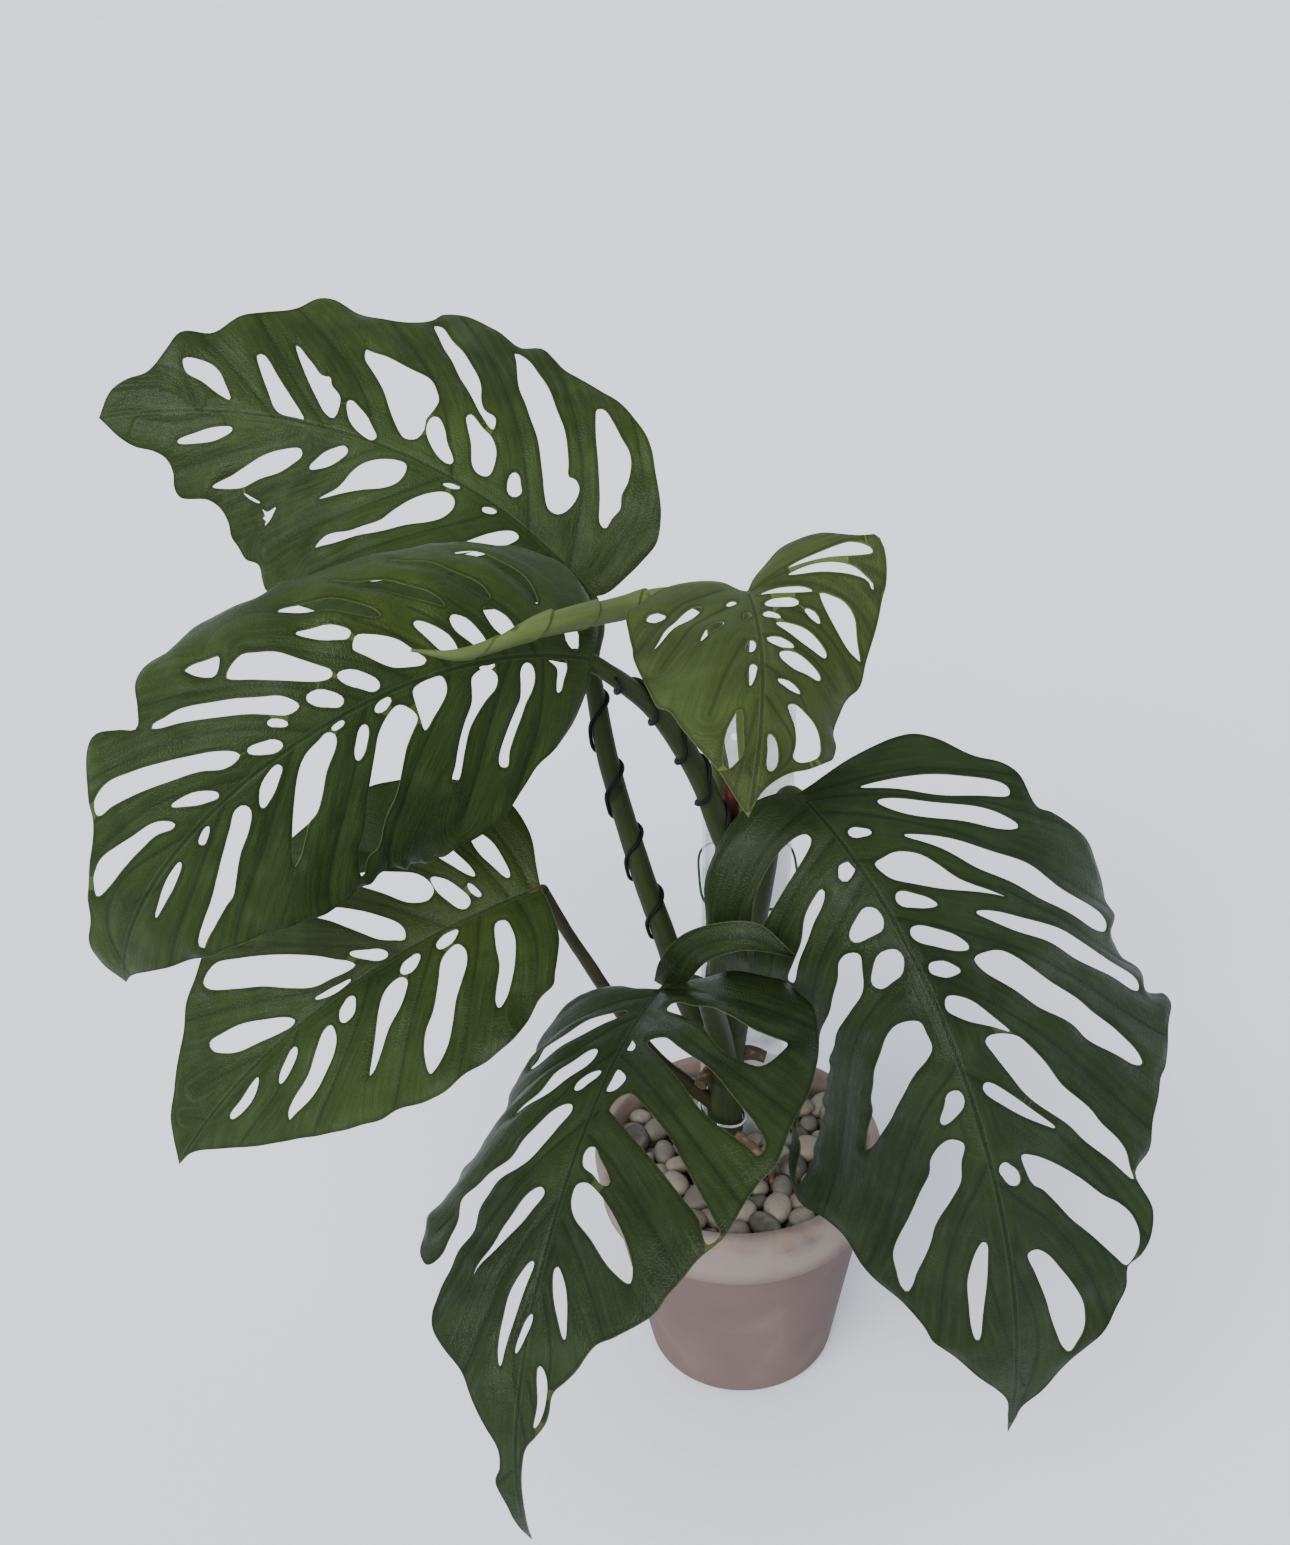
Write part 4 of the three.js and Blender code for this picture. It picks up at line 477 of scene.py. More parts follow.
            199, -68, 209.5, -69.5, 220, -70, 211.5, -64, 199, -56, 184, -46.5, 167, -34, 152,
            -23.5, 136.5, -17.5],
        12: [179, -15, 182, -21, 191.5, -31.5, 203, -41.5, 216, -50.5, 225.5, -59, 232.5, -63, 239,
            -63.5, 246.5, -60.5, 250.5, -57, 251.5, -54.5, 243, -48.5, 229, -40, 215.5, -31, 199,
            -22.5, 194, -18, 187, -15.5],
        14: [222, -8.5, 222, -12.5, 227, -17.5, 238.5, -23.5, 249, -28, 261.5, -32, 268.5, -31.5,
            276.5, -27.5, 282.5, -23.5, 278.5, -20.5, 267.5, -17.5, 250.5, -14.5, 234, -11],
        17: [43.5, 21, 43, 18, 45, 17.5, 49, 21.5, 53, 30, 58.5, 40, 68, 57, 64.5, 59.5, 60.5, 50,
            54.5, 39.5, 47, 29.5],
        21: [74, 29, 73, 23.5, 76, 19, 82.5, 22, 91, 26.5, 96.5, 37, 103.5, 49, 112.5, 60, 123.5,
            72.5, 142, 84.5, 161, 92, 180, 95.5, 194, 98, 206, 100, 211.5, 103, 201.5, 107, 186,
            112, 168.5, 117, 149, 116.5, 115, 85, 100.5, 62.5, 90, 47, 81, 36],
        22: [174, 59.5, 160.5, 55.5, 136.5, 44, 122.5, 35, 115.5, 28.5, 110.5, 20, 110.5, 12.5,
            112.5, 8.5, 117.5, 8, 123.5, 8, 127.5, 11.5, 132.5, 19, 142, 29.5, 155, 41.5, 169.5,
            53.5],
        24: [166, 8.5, 164, 13.5, 167, 19.5, 174, 25.5, 183.5, 29.5, 194, 35.5, 206.5, 41.5, 219,
            48, 230, 51, 237.5, 49.5, 245.5, 47.5, 248, 45.5, 244, 43, 236, 40.5, 225.5, 36, 206.5,
            29, 193.5, 20.5, 184, 14.5, 174, 11.5],
    },
    "leaf_top": {
        1: [4, -18.5, 3, -25, 3, -32.5, 4, -40, 6, -46.5, 8.5, -50, 10.5, -52.5, 12.5, -51.5, 10,
            -50.5, 8.5, -45, 7.5, -38, 6.5, -30.5, 5.5, -22.5],
        2: [7.5, -4, 7.5, -9, 9, -16, 11, -23, 13, -26, 13, -21.5, 11.5, -13.5],
        5: [14, -28.5, 15, -34, 16.5, -38.5, 20, -43, 24.5, -45, 28.5, -47.5, 31, -49, 31, -46.5,
            30, -41.5, 25.5, -35, 19.5, -30],
        11: [72, -12, 69, -15.5, 69.5, -21.5, 72.5, -27.5, 79, -30.5, 89, -28.5, 93.5, -24, 96.5,
            -18, 95.5, -15.5, 89.5, -16.5, 80.5, -15.5, 75, -13],
        20: [81, 9.5, 80.5, 8, 88.5, 7, 100, 6, 104, 8, 107.5, 11, 105, 13, 98.5, 13.5, 90.5, 13,
            83, 10.5],
    },
}

# Which holes bound the strips of blade, from the base to the tip. Each strip has one vein.
# Where a strip has no hole beside it, six numbers give the line there instead.
STRIP_HOLES = {
    "leaf_upper_left": ([2, 5, 7, 9, 10], [12, 13, 17, 18, 20, 21, 22]),
    "leaf_middle_left": ([1, 2, 5, 9, 11, 13], [15, 16, 17, 18, 21, 24, 27, 29]),
    "leaf_lower_left": ([0, 1, 4, 6, 8], [9, 10, 13, 14, 16, 18]),
    "leaf_front": ([0, 2, 3, 6, 7, 8], [9, 10, [91, 17, 125, 40, 172, 56], 12, 13]),
    "leaf_right": ([0, 1, 2, 4, 8, 9, 12, 14], [16, 17, 21, 22, 24, 25]),
    "leaf_top": ([0, 1, 5, 7, 9, 11, 12], [17, 18, 20]),
}

# How finely the leaves are made. Steps are millimetres of the drawing.
RIB_STATIONS = 30
CREASE = 4.0
CREASE_STEPS = 24
MARGIN_STEP = 2.0
HOLE_STEP = 1.7
VEIN_STEP = 0.5
CURVE_SAMPLES = 17
# Rows of points lie this share of a step apart, and each point strays by up to this share.
ROW_HEIGHT = 0.866
JITTER = 0.14
# Distances on a blade are kept as shares of this many millimetres.
FAR = 10.0
# A leaf shorter than this has narrower and lower bulges.
SMALL_LEAF = 150
LOBE_STEP = 1.6
LOBE_HALF_THICKNESS = 0.35


def shade(code):
    """A colour written as a hexadecimal number, as the linear values that materials use."""
    parts = [(code >> shift & 255) / 255 for shift in (16, 8, 0)]
    return tuple(p / 12.92 if p <= 0.04045 else ((p + 0.055) / 1.055) ** 2.4 for p in parts)


def colour(name, description, code):
    return FloatVectorProperty(name=name, description=description, subtype="COLOR", size=3,
                               min=0, max=1, default=shade(code))


def length(name, description, default):
    return FloatProperty(name=name, description=description, default=default, min=0,
                         subtype="DISTANCE", unit="LENGTH")


class StageSettings(bpy.types.PropertyGroup):
    """The floor and the light."""

    floor: colour("Floor", "Colour of the floor", 0xd6dae2)
    sky: colour("Sky", "Colour of the light from all round", 0xe4e9f2)
    sky_light: FloatProperty(name="Sky light", description="Strength of the light from all round",
                             default=1.25, min=0)
    side_light: FloatProperty(name="Side light", description="Strength of the light from one side",
                              default=5.8, min=0)
    softness: FloatProperty(name="Softness", description="How wide the light from one side is",
                            default=math.radians(50), min=0, max=math.pi, subtype="ANGLE")


class PotSettings(bpy.types.PropertyGroup):
    """The clay pot."""

    height: length("Height", "From the foot to the lip", POT_BOX[1].z)
    rim_radius: length("Rim radius", "Outer radius at the lip", POT_BOX[1].x)
    rim_band: length("Rim band", "Height of the raised band under the lip", 0.035)
    foot_radius: length("Foot radius", "Outer radius of the foot", 0.053)
    wall: length("Wall", "Thickness of the wall", 0.008)
    clay: colour("Clay", "Colour of the clay", 0x5c4b48)
    bloom: colour("Bloom", "Colour of the lime that has come out of it", 0x7f746c)


class FillSettings(bpy.types.PropertyGroup):
    """The soil and the pebbles on it."""

    pebble: length("Pebble", "Mean radius of a pebble", 0.0072)
    seed: IntProperty(name="Seed", description="Another number scatters them another way",
                      default=4, min=0)
    soil: colour("Soil", "Colour of the soil", 0x3b2b20)
    pale: colour("Pale pebbles", "Colour of the palest pebbles", 0x7c766a)
    dark: colour("Dark pebbles", "Colour of the darkest pebbles", 0x2c2822)


class StemSettings(bpy.types.PropertyGroup):
    """The stem, its stalks and what is tied round them."""

    stalk: colour("Stalk", "Colour of the leaf stalks", 0x1d2410)
    bark: colour("Bark", "Colour of the old stem", 0x40351f)
    root: colour("Root", "Colour of the aerial roots", 0x513b28)
    wire: length("Wire", "Radius of the dark wire", 0.001)
    plastic: colour("Plastic", "Colour of the clear stake", 0xdcdfdf)


class LeafSettings(bpy.types.PropertyGroup):
    """The open leaves and the rolled one."""

    thickness: length("Thickness", "Thickness of a blade", 0.0007)
    mesh_step: length("Mesh step", "Distance between the points of a blade", 0.0021)
    bulge: length("Bulge", "How far the blade rises between two veins", 0.0016)
    bulge_width: length("Bulge width", "How far from a vein it has risen", 0.0075)
    groove: length("Groove", "How deep the veins are sunk", 0.00035)
    waves: length("Waves", "Height of the waves along the margin", 0.0009)
    dark: colour("Leaf", "Colour of the old leaves", 0x243110)
    shaded: colour("Shaded leaf", "Colour of the front and right leaves", 0x1c270f)
    young: colour("Young leaf", "Colour of the young leaf", 0x303b19)
    rolled: colour("Rolled leaf", "Colour of the rolled leaf", 0x434f27)


def feed(tree, socket, value):
    """Link a socket, or give it a value."""
    if isinstance(value, bpy.types.NodeSocket):
        tree.links.new(value, socket)
    else:
        socket.default_value = value


def add_node(tree, kind, inputs=None, **settings):
    """A node in a tree. inputs gives its sockets, by name or by place, a value or a link."""
    node = tree.nodes.new(kind)
    for name, value in settings.items():
        setattr(node, name, value)
    for key, value in (inputs or {}).items():
        feed(tree, node.inputs[key], value)
    return node


def maths(tree, operation, *terms):
    return add_node(tree, "ShaderNodeMath", dict(enumerate(terms)), operation=operation).outputs[0]


def plus(tree, first, second):
    return maths(tree, "ADD", first, second)


def times(tree, first, second):
    return maths(tree, "MULTIPLY", first, second)


def vector_maths(tree, operation, *terms):
    return add_node(tree, "ShaderNodeVectorMath", dict(enumerate(terms)),
                    operation=operation).outputs[0]


def combined(tree, *parts):
    """A vector of its parts."""
    return add_node(tree, "ShaderNodeCombineXYZ", dict(enumerate(parts))).outputs[0]


def scaled(tree, vector, factor):
    node = add_node(tree, "ShaderNodeVectorMath", {0: vector, "Scale": factor}, operation="SCALE")
    return node.outputs[0]


def stretched(tree, value, low, high, to_low=0.0, to_high=1.0):
    """value, mapped from between low and high to between to_low and to_high."""
    return add_node(tree, "ShaderNodeMapRange", {
        "Value": value, "From Min": low, "From Max": high, "To Min": to_low, "To Max": to_high,
    }, interpolation_type="SMOOTHSTEP").outputs[0]


def fading(tree, value, low, high):
    """One where value is below low, none where it is above high."""
    return stretched(tree, value, low, high, 1.0, 0.0)


def blended(tree, factor, first, second):
    colours = [tuple(c) + (1,) if isinstance(c, (tuple, list)) and len(c) == 3 else c
               for c in (first, second)]
    return add_node(tree, "ShaderNodeMix", {0: factor, 6: colours[0], 7: colours[1]},
                    data_type="RGBA", blend_type="MIX").outputs[2]


def layered(tree, base, mask, strength, tint):
    """The base colour with a tint laid over it where the mask is."""
    return blended(tree, times(tree, mask, strength), base, tint)


def tinted(tint, factor, lift=0.0):
    """A colour made darker or lighter."""
    return tuple(factor * c + lift for c in tint)


def noise(tree, vector, scale, detail=2.0, distortion=0.0):
    return add_node(tree, "ShaderNodeTexNoise", {
        "Vector": vector, "Scale": scale, "Detail": detail, "Distortion": distortion,
    }).outputs[0]


def group_tree(name, kind, inputs, outputs):
    """An empty node group with named sockets, and its input and output nodes."""
    tree = bpy.data.node_groups.new(name, kind)
    for label, form, default in inputs:
        socket = tree.interface.new_socket(name=label, in_out="INPUT",
                                           socket_type="NodeSocket" + form)
        if default is not None:
            socket.default_value = default
    for label, form in outputs:
        tree.interface.new_socket(name=label, in_out="OUTPUT", socket_type="NodeSocket" + form)
    return tree, tree.nodes.new("NodeGroupInput"), tree.nodes.new("NodeGroupOutput")


def shared_group(name, build):
    """The node group of this name, built when it is first asked for."""
    return bpy.data.node_groups.get(name) or build(name)


def build_patches(name):
    """Soft uneven patches with finer ones in them."""
    tree, start, end = group_tree(name, "ShaderNodeTree", [
        ("Vector", "Vector", None), ("Scale", "Float", 20.0), ("Low", "Float", 0.4),
        ("High", "Float", 0.6)], [("Mask", "Float")])
    coarse = noise(tree, start.outputs["Vector"], start.outputs["Scale"], 5, 0.4)
    mask = stretched(tree, coarse, start.outputs["Low"], start.outputs["High"])
    tree.links.new(mask, end.inputs["Mask"])
    return tree


def build_fibres(name):
    """Streaks along the Z of a straightened rod, thin across it."""
    tree, start, end = group_tree(name, "ShaderNodeTree", [
        ("Vector", "Vector", None), ("Fineness", "Float", 900.0), ("Length", "Float", 12.0)],
        [("Mask", "Float")])
    parts = add_node(tree, "ShaderNodeSeparateXYZ", {0: start.outputs["Vector"]})
    across = [times(tree, parts.outputs[i], start.outputs["Fineness"]) for i in (0, 1)]
    along = maths(tree, "DIVIDE", parts.outputs[2], start.outputs["Length"])
    place = combined(tree, *across, times(tree, along, 1000.0))
    tree.links.new(noise(tree, place, 1.0, 3), end.inputs["Mask"])
    return tree


def patches(tree, vector, scale, low, high):
    """A mask of soft uneven patches."""
    return add_node(tree, "ShaderNodeGroup", {
        "Vector": vector, "Scale": scale, "Low": low, "High": high,
    }, node_tree=shared_group("Patches", build_patches)).outputs["Mask"]


def fibres(tree, vector, fineness, reach):
    """A mask of streaks along a rod."""
    return add_node(tree, "ShaderNodeGroup", {
        "Vector": vector, "Fineness": fineness, "Length": reach,
    }, node_tree=shared_group("Fibres", build_fibres)).outputs["Mask"]


def new_material(name):
    """A material with its tree, its shader, and the object's own coordinates."""
    material = bpy.data.materials.new(name)
    material.use_nodes = True
    tree = material.node_tree
    shader = tree.nodes["Principled BSDF"]
    place = tree.nodes.new("ShaderNodeTexCoord").outputs["Object"]
    return material, tree, shader, place


def attribute(tree, name, output="Fac"):
    """What the mesh keeps under a name, for a material."""
    return add_node(tree, "ShaderNodeAttribute", attribute_name=name).outputs[output]


def bumped(tree, shader, height, strength, distance):
    """Roughen a shader's surface with a height."""
    bump = add_node(tree, "ShaderNodeBump", {"Height": height, "Strength": strength,
                                            "Distance": distance})
    tree.links.new(bump.outputs[0], shader.inputs["Normal"])


def dress(tree, shader, **inputs):
    """Give a shader its inputs, each a value or a link. A space in a name is an underscore."""
    for key, value in inputs.items():
        feed(tree, shader.inputs[key.replace("_", " ")], value)


def leaf_material(name, tint, gloss, yellowing=0.27):
    """A leathery blade: veins darkened with painted shade, a painted sheen along both sides of the
    midrib, a painted highlight on the cut edges with a line of painted shade inside it, and a paler
    underside.
    """
    material, tree, shader, place = new_material(name)
    vein, edge, rib, along, under = (attribute(tree, key)
                                     for key in ("vein", "edge", "rib", "along", "under"))
    flat = add_node(tree, "ShaderNodeUVMap", uv_map="drawing").outputs[0]
    pale = tinted(tint, 1.5, 0.01)
    yellow = (tint[0] * 2.6, tint[1] * 2.1, tint[2] * 1.5)
    lane = combined(tree, times(tree, vein, 4.5), times(tree, along, 3.5))
    lines = noise(tree, lane, 1.0, 4)
    base = blended(tree, patches(tree, place, 13, 0.35, 0.7), tinted(tint, 0.62), tint)
    base = layered(tree, base, patches(tree, place, 45, 0.45, 0.75), 0.3, pale)
    base = layered(tree, base, stretched(tree, lines, 0.42, 0.72), 0.24, pale)
    base = layered(tree, base, fading(tree, lines, 0.25, 0.45), 0.35, tinted(tint, 0.5))
    young = times(tree, stretched(tree, edge, 0.1, 1.8, 1.0, 0.15),
                  patches(tree, place, 11, 0.46, 0.72))
    base = layered(tree, base, young, yellowing, yellow)
    # Painted shade: the sunk veins are darkened as if shade lay in their grooves.
    base = layered(tree, base, fading(tree, vein, 0.02, 0.14), 0.6, tinted(tint, 0.4))
    # Painted sheen: a pale bluish band on either side of the midrib.
    painted_rib_sheen = times(tree, stretched(tree, rib, 0.06, 0.1), fading(tree, rib, 0.1, 0.17))
    base = layered(tree, base, painted_rib_sheen, 0.4,
                   (1.4 * tint[0] + 0.008, 1.35 * tint[1] + 0.01, 1.8 * tint[2] + 0.012))
    # Painted shade: a dark line a little way in from every cut edge.
    inner = times(tree, stretched(tree, edge, 0.02, 0.06), fading(tree, edge, 0.08, 0.22))
    base = layered(tree, base, inner, 0.55, tinted(tint, 0.4))
    base = layered(tree, base, under, 0.6, tinted(tint, 1.9, 0.016))
    # Painted highlight: the cut edges are pale as if they caught the light.
    base = layered(tree, base, fading(tree, edge, 0.015, 0.05), 0.3,
                   (tint[0] * 3 + 0.03, tint[1] * 2.6 + 0.03, tint[2] * 2.2 + 0.015))
    net = add_node(tree, "ShaderNodeTexVoronoi", {"Vector": flat, "Scale": 70.0},
                   feature="DISTANCE_TO_EDGE").outputs[0]
    net = times(tree, stretched(tree, net, 0.0, 0.25), 0.35)
    height = plus(tree, net, times(tree, lines, 1.6))
    height = plus(tree, height, times(tree, noise(tree, place, 90, 2), 1.6))
    bumped(tree, shader, height, 0.5, 0.0006)
    rough = stretched(tree, patches(tree, place, 30, 0.3, 0.7), 0, 1, gloss, gloss + 0.14)
    dress(tree, shader, Base_Color=base, Roughness=rough, Specular_IOR_Level=0.1)
    return material


def stalk_material(name, tint, streak, seam=0.0):
    """A green stalk with fine streaks, darker scars, small raised specks and painted shadow along
    its seam.
    """
    material, tree, shader, place = new_material(name)
    skin = attribute(tree, "skin", "Vector")
    base = blended(tree, fibres(tree, skin, 900, 14), tinted(tint, 0.7), tint)
    base = layered(tree, base, fibres(tree, skin, 420, 40), 0.8, streak)
    base = layered(tree, base, patches(tree, place, 70, 0.62, 0.7), 0.7, tinted(tint, 0.35))
    # Painted shadow along the seam, where one wrap laps over the next.
    wound = attribute(tree, "seam")
    shadow = maths(tree, "MAXIMUM", fading(tree, wound, 0.0, 0.05),
                   stretched(tree, wound, 0.985, 1.0))
    base = layered(tree, base, shadow, seam, tinted(tint, 0.25))
    specks = plus(tree, fibres(tree, skin, 1400, 20), noise(tree, place, 500, 3))
    bumped(tree, shader, specks, 0.5, 0.0004)
    dress(tree, shader, Base_Color=base, Roughness=0.55, Specular_IOR_Level=0.14)
    return material


def clay_material(settings):
    """Unglazed clay with throwing lines, pores and a bloom of lime."""
    material, tree, shader, place = new_material("clay")
    clay, bloom = tuple(settings.clay), tuple(settings.bloom)
    height = add_node(tree, "ShaderNodeSeparateXYZ", {0: place}).outputs[2]
    top = settings.height
    shoulder = top - settings.rim_band
    base = blended(tree, patches(tree, place, 16, 0.3, 0.7), tinted(clay, 0.86), clay)
    on_band = stretched(tree, height, shoulder - 0.004, shoulder + 0.012)
    crust = times(tree, patches(tree, place, 34, 0.2, 0.6), on_band)
    base = layered(tree, base, crust, 0.8, bloom)
    base = layered(tree, base, patches(tree, place, 24, 0.5, 0.75), 0.16, bloom)
    lip = times(tree, stretched(tree, height, top - 0.008, top - 0.005),
                fading(tree, height, top - 0.004, top - 0.001))
    rust = times(tree, patches(tree, place, 40, 0.5, 0.62), lip)
    base = layered(tree, base, rust, 0.75, shade(0x7c5637))
    worn = times(tree, patches(tree, place, 70, 0.55, 0.7), on_band)
    base = layered(tree, base, worn, 0.3, shade(0x75604e))
    lines = noise(tree, combined(tree, 0.0, 0.0, height), 320, 2)
    bumped(tree, shader, plus(tree, lines, noise(tree, place, 700, 4)), 0.4, 0.0005)
    dress(tree, shader, Base_Color=base, Roughness=0.92)
    return material


def soil_material(settings):
    material, tree, shader, place = new_material("soil")
    soil = tuple(settings.soil)
    base = blended(tree, patches(tree, place, 260, 0.4, 0.6), tinted(soil, 0.5), soil)
    bumped(tree, shader, noise(tree, place, 420, 5), 0.9, 0.002)
    dress(tree, shader, Base_Color=base, Roughness=1)
    return material


def pebble_material(settings):
    """River pebbles, each with its own tone, some warmer, with dark specks and pale patches."""
    material, tree, shader, place = new_material("pebble")
    tone = attribute(tree, "tone")
    base = blended(tree, tone, tuple(settings.dark), tuple(settings.pale))
    warm = stretched(tree, maths(tree, "FRACT", times(tree, tone, 7.3)), 0.55, 0.9)
    base = layered(tree, base, warm, 0.4, shade(0x6e5e4c))
    base = layered(tree, base, patches(tree, place, 380, 0.55, 0.65), 0.35, shade(0x4b443d))
    base = layered(tree, base, patches(tree, place, 90, 0.5, 0.7), 0.4, shade(0x7d776b))
    bumped(tree, shader, noise(tree, place, 600, 4), 0.35, 0.0004)
    dress(tree, shader, Base_Color=base, Roughness=0.62)
    return material


def bark_material(name, tint, pale):
    """Dry brown skin that flakes along its length."""
    material, tree, shader, place = new_material(name)
    skin = attribute(tree, "skin", "Vector")
    base = blended(tree, fibres(tree, skin, 500, 20), tinted(tint, 0.45), tint)
    base = layered(tree, base, patches(tree, place, 160, 0.5, 0.65), 0.8, pale)
    flakes = plus(tree, fibres(tree, skin, 700, 10), noise(tree, place, 300, 4))
    bumped(tree, shader, flakes, 0.9, 0.0009)
    dress(tree, shader, Base_Color=base, Roughness=0.85)
    return material


def plastic_material(settings):
    """Clear plastic, hazy with water marks."""
    material, tree, shader, place = new_material("clear_plastic")
    tint = tuple(settings.plastic)
    marks = patches(tree, place, 60, 0.45, 0.7)
    base = blended(tree, marks, tint, tinted(tint, 0.85))
    bumped(tree, shader, noise(tree, place, 120, 3), 0.2, 0.0004)
    dress(tree, shader, Base_Color=base, Alpha=stretched(tree, marks, 0, 1, 0.46, 0.74),
          Roughness=stretched(tree, marks, 0, 1, 0.14, 0.4), IOR=1.49)
    return material


def wire_material(name, tint, gloss, metallic, sheen=0.12):
    material, tree, shader, place = new_material(name)
    base = blended(tree, patches(tree, place, 240, 0.4, 0.65), tint, tinted(tint, 1.5))
    rough = stretched(tree, noise(tree, place, 300, 3), 0.3, 0.7, gloss, gloss + 0.2)
    bumped(tree, shader, noise(tree, place, 800, 2), 0.2, 0.0002)
    dress(tree, shader, Base_Color=base, Roughness=rough, Metallic=metallic,
          Specular_IOR_Level=sheen)
    return material


def floor_material(settings):
    material, tree, shader, place = new_material("floor")
    tint = tuple(settings.floor)
    base = blended(tree, patches(tree, place, 2.5, 0.3, 0.7), tinted(tint, 0.97), tint)
    bumped(tree, shader, noise(tree, place, 120, 3), 0.25, 0.001)
    dress(tree, shader, Base_Color=base, Roughness=0.9)
    return material


def finish_piece(piece, slot, *nodes):
    """Attach a piece to the root body and hide the nodes of the solid model that it stands for.
    slot is not used.
    """
    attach(piece, "root")
    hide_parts(*nodes)
    return piece


def link_mesh(name, mesh, material):
    """A mesh as a piece of the scene, with one material."""
    mesh.materials.clear()
    mesh.materials.append(material)
    piece = bpy.data.objects.new(name, mesh)
    bpy.context.scene.collection.objects.link(piece)
    return piece


def distances(line):
    """How far along a line each of its points lies."""
    return np.concatenate([[0], np.cumsum(np.linalg.norm(np.diff(line, axis=0), axis=1))])


def points_at(stops, along, line):
    """The points at some distances along a line."""
    return np.column_stack([np.interp(stops, along, column) for column in line.T])


def smooth_line(points, spacing):
    """A Catmull-Rom curve through the points, as points evenly spaced along it."""
    points = np.array(points, float)
    apart = np.linalg.norm(np.diff(points, axis=0), axis=1) > 1e-3
    points = points[np.concatenate([[True], apart])]
    padded = np.vstack([2 * points[0] - points[1], points, 2 * points[-1] - points[-2]])
    traced = [points[:1]]
    for i in range(len(points) - 1):
        four = padded[i:i + 4]
        steps = np.sqrt(np.linalg.norm(np.diff(four, axis=0), axis=1))
        knots = np.concatenate([[0], np.cumsum(steps)])
        t = np.linspace(knots[1], knots[2], CURVE_SAMPLES)[1:, None]

        def between(low, high, first, second):
            span = knots[high] - knots[low]
            return (first * (knots[high] - t) + second * (t - knots[low])) / span

        near = [between(k, k + 1, four[k], four[k + 1]) for k in range(3)]
        wide = [between(k, k + 2, near[k], near[k + 1]) for k in range(2)]
        traced.append(between(1, 2, wide[0], wide[1]))
    line = np.vstack(traced)
    along = distances(line)
    count = max(2, round(along[-1] / spacing) + 1)
    return points_at(np.linspace(0, along[-1], count), along, line)


def read_along(values, count):
    """A short list of values read evenly, with its corners rounded off."""
    t = np.linspace(0, 1, count)
    read = np.interp(t, np.linspace(0, 1, len(values)), values)
    reach = max(1, count // (4 * len(values)))
    kernel = np.ones(2 * reach + 1) / (2 * reach + 1)
    return np.convolve(np.pad(read, reach, mode="edge"), kernel, mode="valid")


def stored(tree, geometry, name, value, **settings):
    """The geometry with a value kept at each of its points under a name."""
    return add_node(tree, "GeometryNodeStoreNamedAttribute", {
        0: geometry, "Name": name, "Value": value}, **settings).outputs[0]


def named(tree, name):
    """The value kept under a name."""
    return add_node(tree, "GeometryNodeInputNamedAttribute", {"Name": name}).outputs[0]


def raised(tree, geometry, rise):
    """The geometry with its points moved outwards."""
    normal = add_node(tree, "GeometryNodeInputNormal").outputs[0]
    return add_node(tree, "GeometryNodeSetPosition", {
        0: geometry, "Offset": scaled(tree, normal, rise)}).outputs[0]


def uneven(tree, scale, detail):
    """Noise about zero, read at each point's position."""
    spot = add_node(tree, "GeometryNodeInputPosition").outputs[0]
    return maths(tree, "SUBTRACT", noise(tree, spot, scale, detail), 0.5)


def build_rod_tree(name):
    """A round skin round the modifier's own line of points, as thick as its thick attribute."""
    tree, start, end = group_tree(name, "GeometryNodeTree", [
        ("Geometry", "Geometry", None), ("Sides", "Int", 20), ("Unevenness", "Float", 0.0),
        ("Unevenness scale", "Float", 80.0), ("Seam", "Float", 0.0), ("Seam turns", "Float", 0.0),
        ("Material", "Material", None)], [("Geometry", "Geometry")])
    give = start.outputs
    curve = add_node(tree, "GeometryNodeMeshToCurve", {0: give["Geometry"]}).outputs[0]
    reach = add_node(tree, "GeometryNodeSplineParameter")
    curve = stored(tree, curve, "along", reach.outputs["Length"])
    curve = stored(tree, curve, "share", reach.outputs["Factor"])
    circle = add_node(tree, "GeometryNodeCurvePrimitiveCircle", {
        "Resolution": give["Sides"], "Radius": 1.0}).outputs[0]
    turn = add_node(tree, "GeometryNodeSplineParameter").outputs["Factor"]
    circle = stored(tree, circle, "around", turn)
    thick, along, share, around = (named(tree, key)
                                   for key in ("thick", "along", "share", "around"))
    skin = add_node(tree, "GeometryNodeCurveToMesh", {
        "Curve": curve, "Profile Curve": circle, "Scale": thick, "Fill Caps": True}).outputs[0]
    angle = times(tree, around, 2 * math.pi)
    straight = combined(tree, times(tree, maths(tree, "COSINE", angle), thick),
                        times(tree, maths(tree, "SINE", angle), thick), along)
    skin = stored(tree, skin, "skin", straight, data_type="FLOAT_VECTOR")
    lumps = uneven(tree, give["Unevenness scale"], 3)
    wound = maths(tree, "FRACT", plus(tree, around, times(tree, share, give["Seam turns"])))
    skin = stored(tree, skin, "seam", wound)
    rise = plus(tree, times(tree, lumps, give["Unevenness"]),
                times(tree, times(tree, wound, give["Seam"]), thick))
    close_tree(tree, raised(tree, skin, rise), give["Material"], end)
    return tree


def close_tree(tree, geometry, material, end):
    """The end of most geometry trees: smooth, realised, with its material."""
    smooth = add_node(tree, "GeometryNodeSetShadeSmooth", {0: geometry}).outputs[0]
    whole = add_node(tree, "GeometryNodeRealizeInstances", {0: smooth}).outputs[0]
    dressed = add_node(tree, "GeometryNodeSetMaterial", {0: whole, "Material": material})
    tree.links.new(dressed.outputs[0], end.inputs[0])


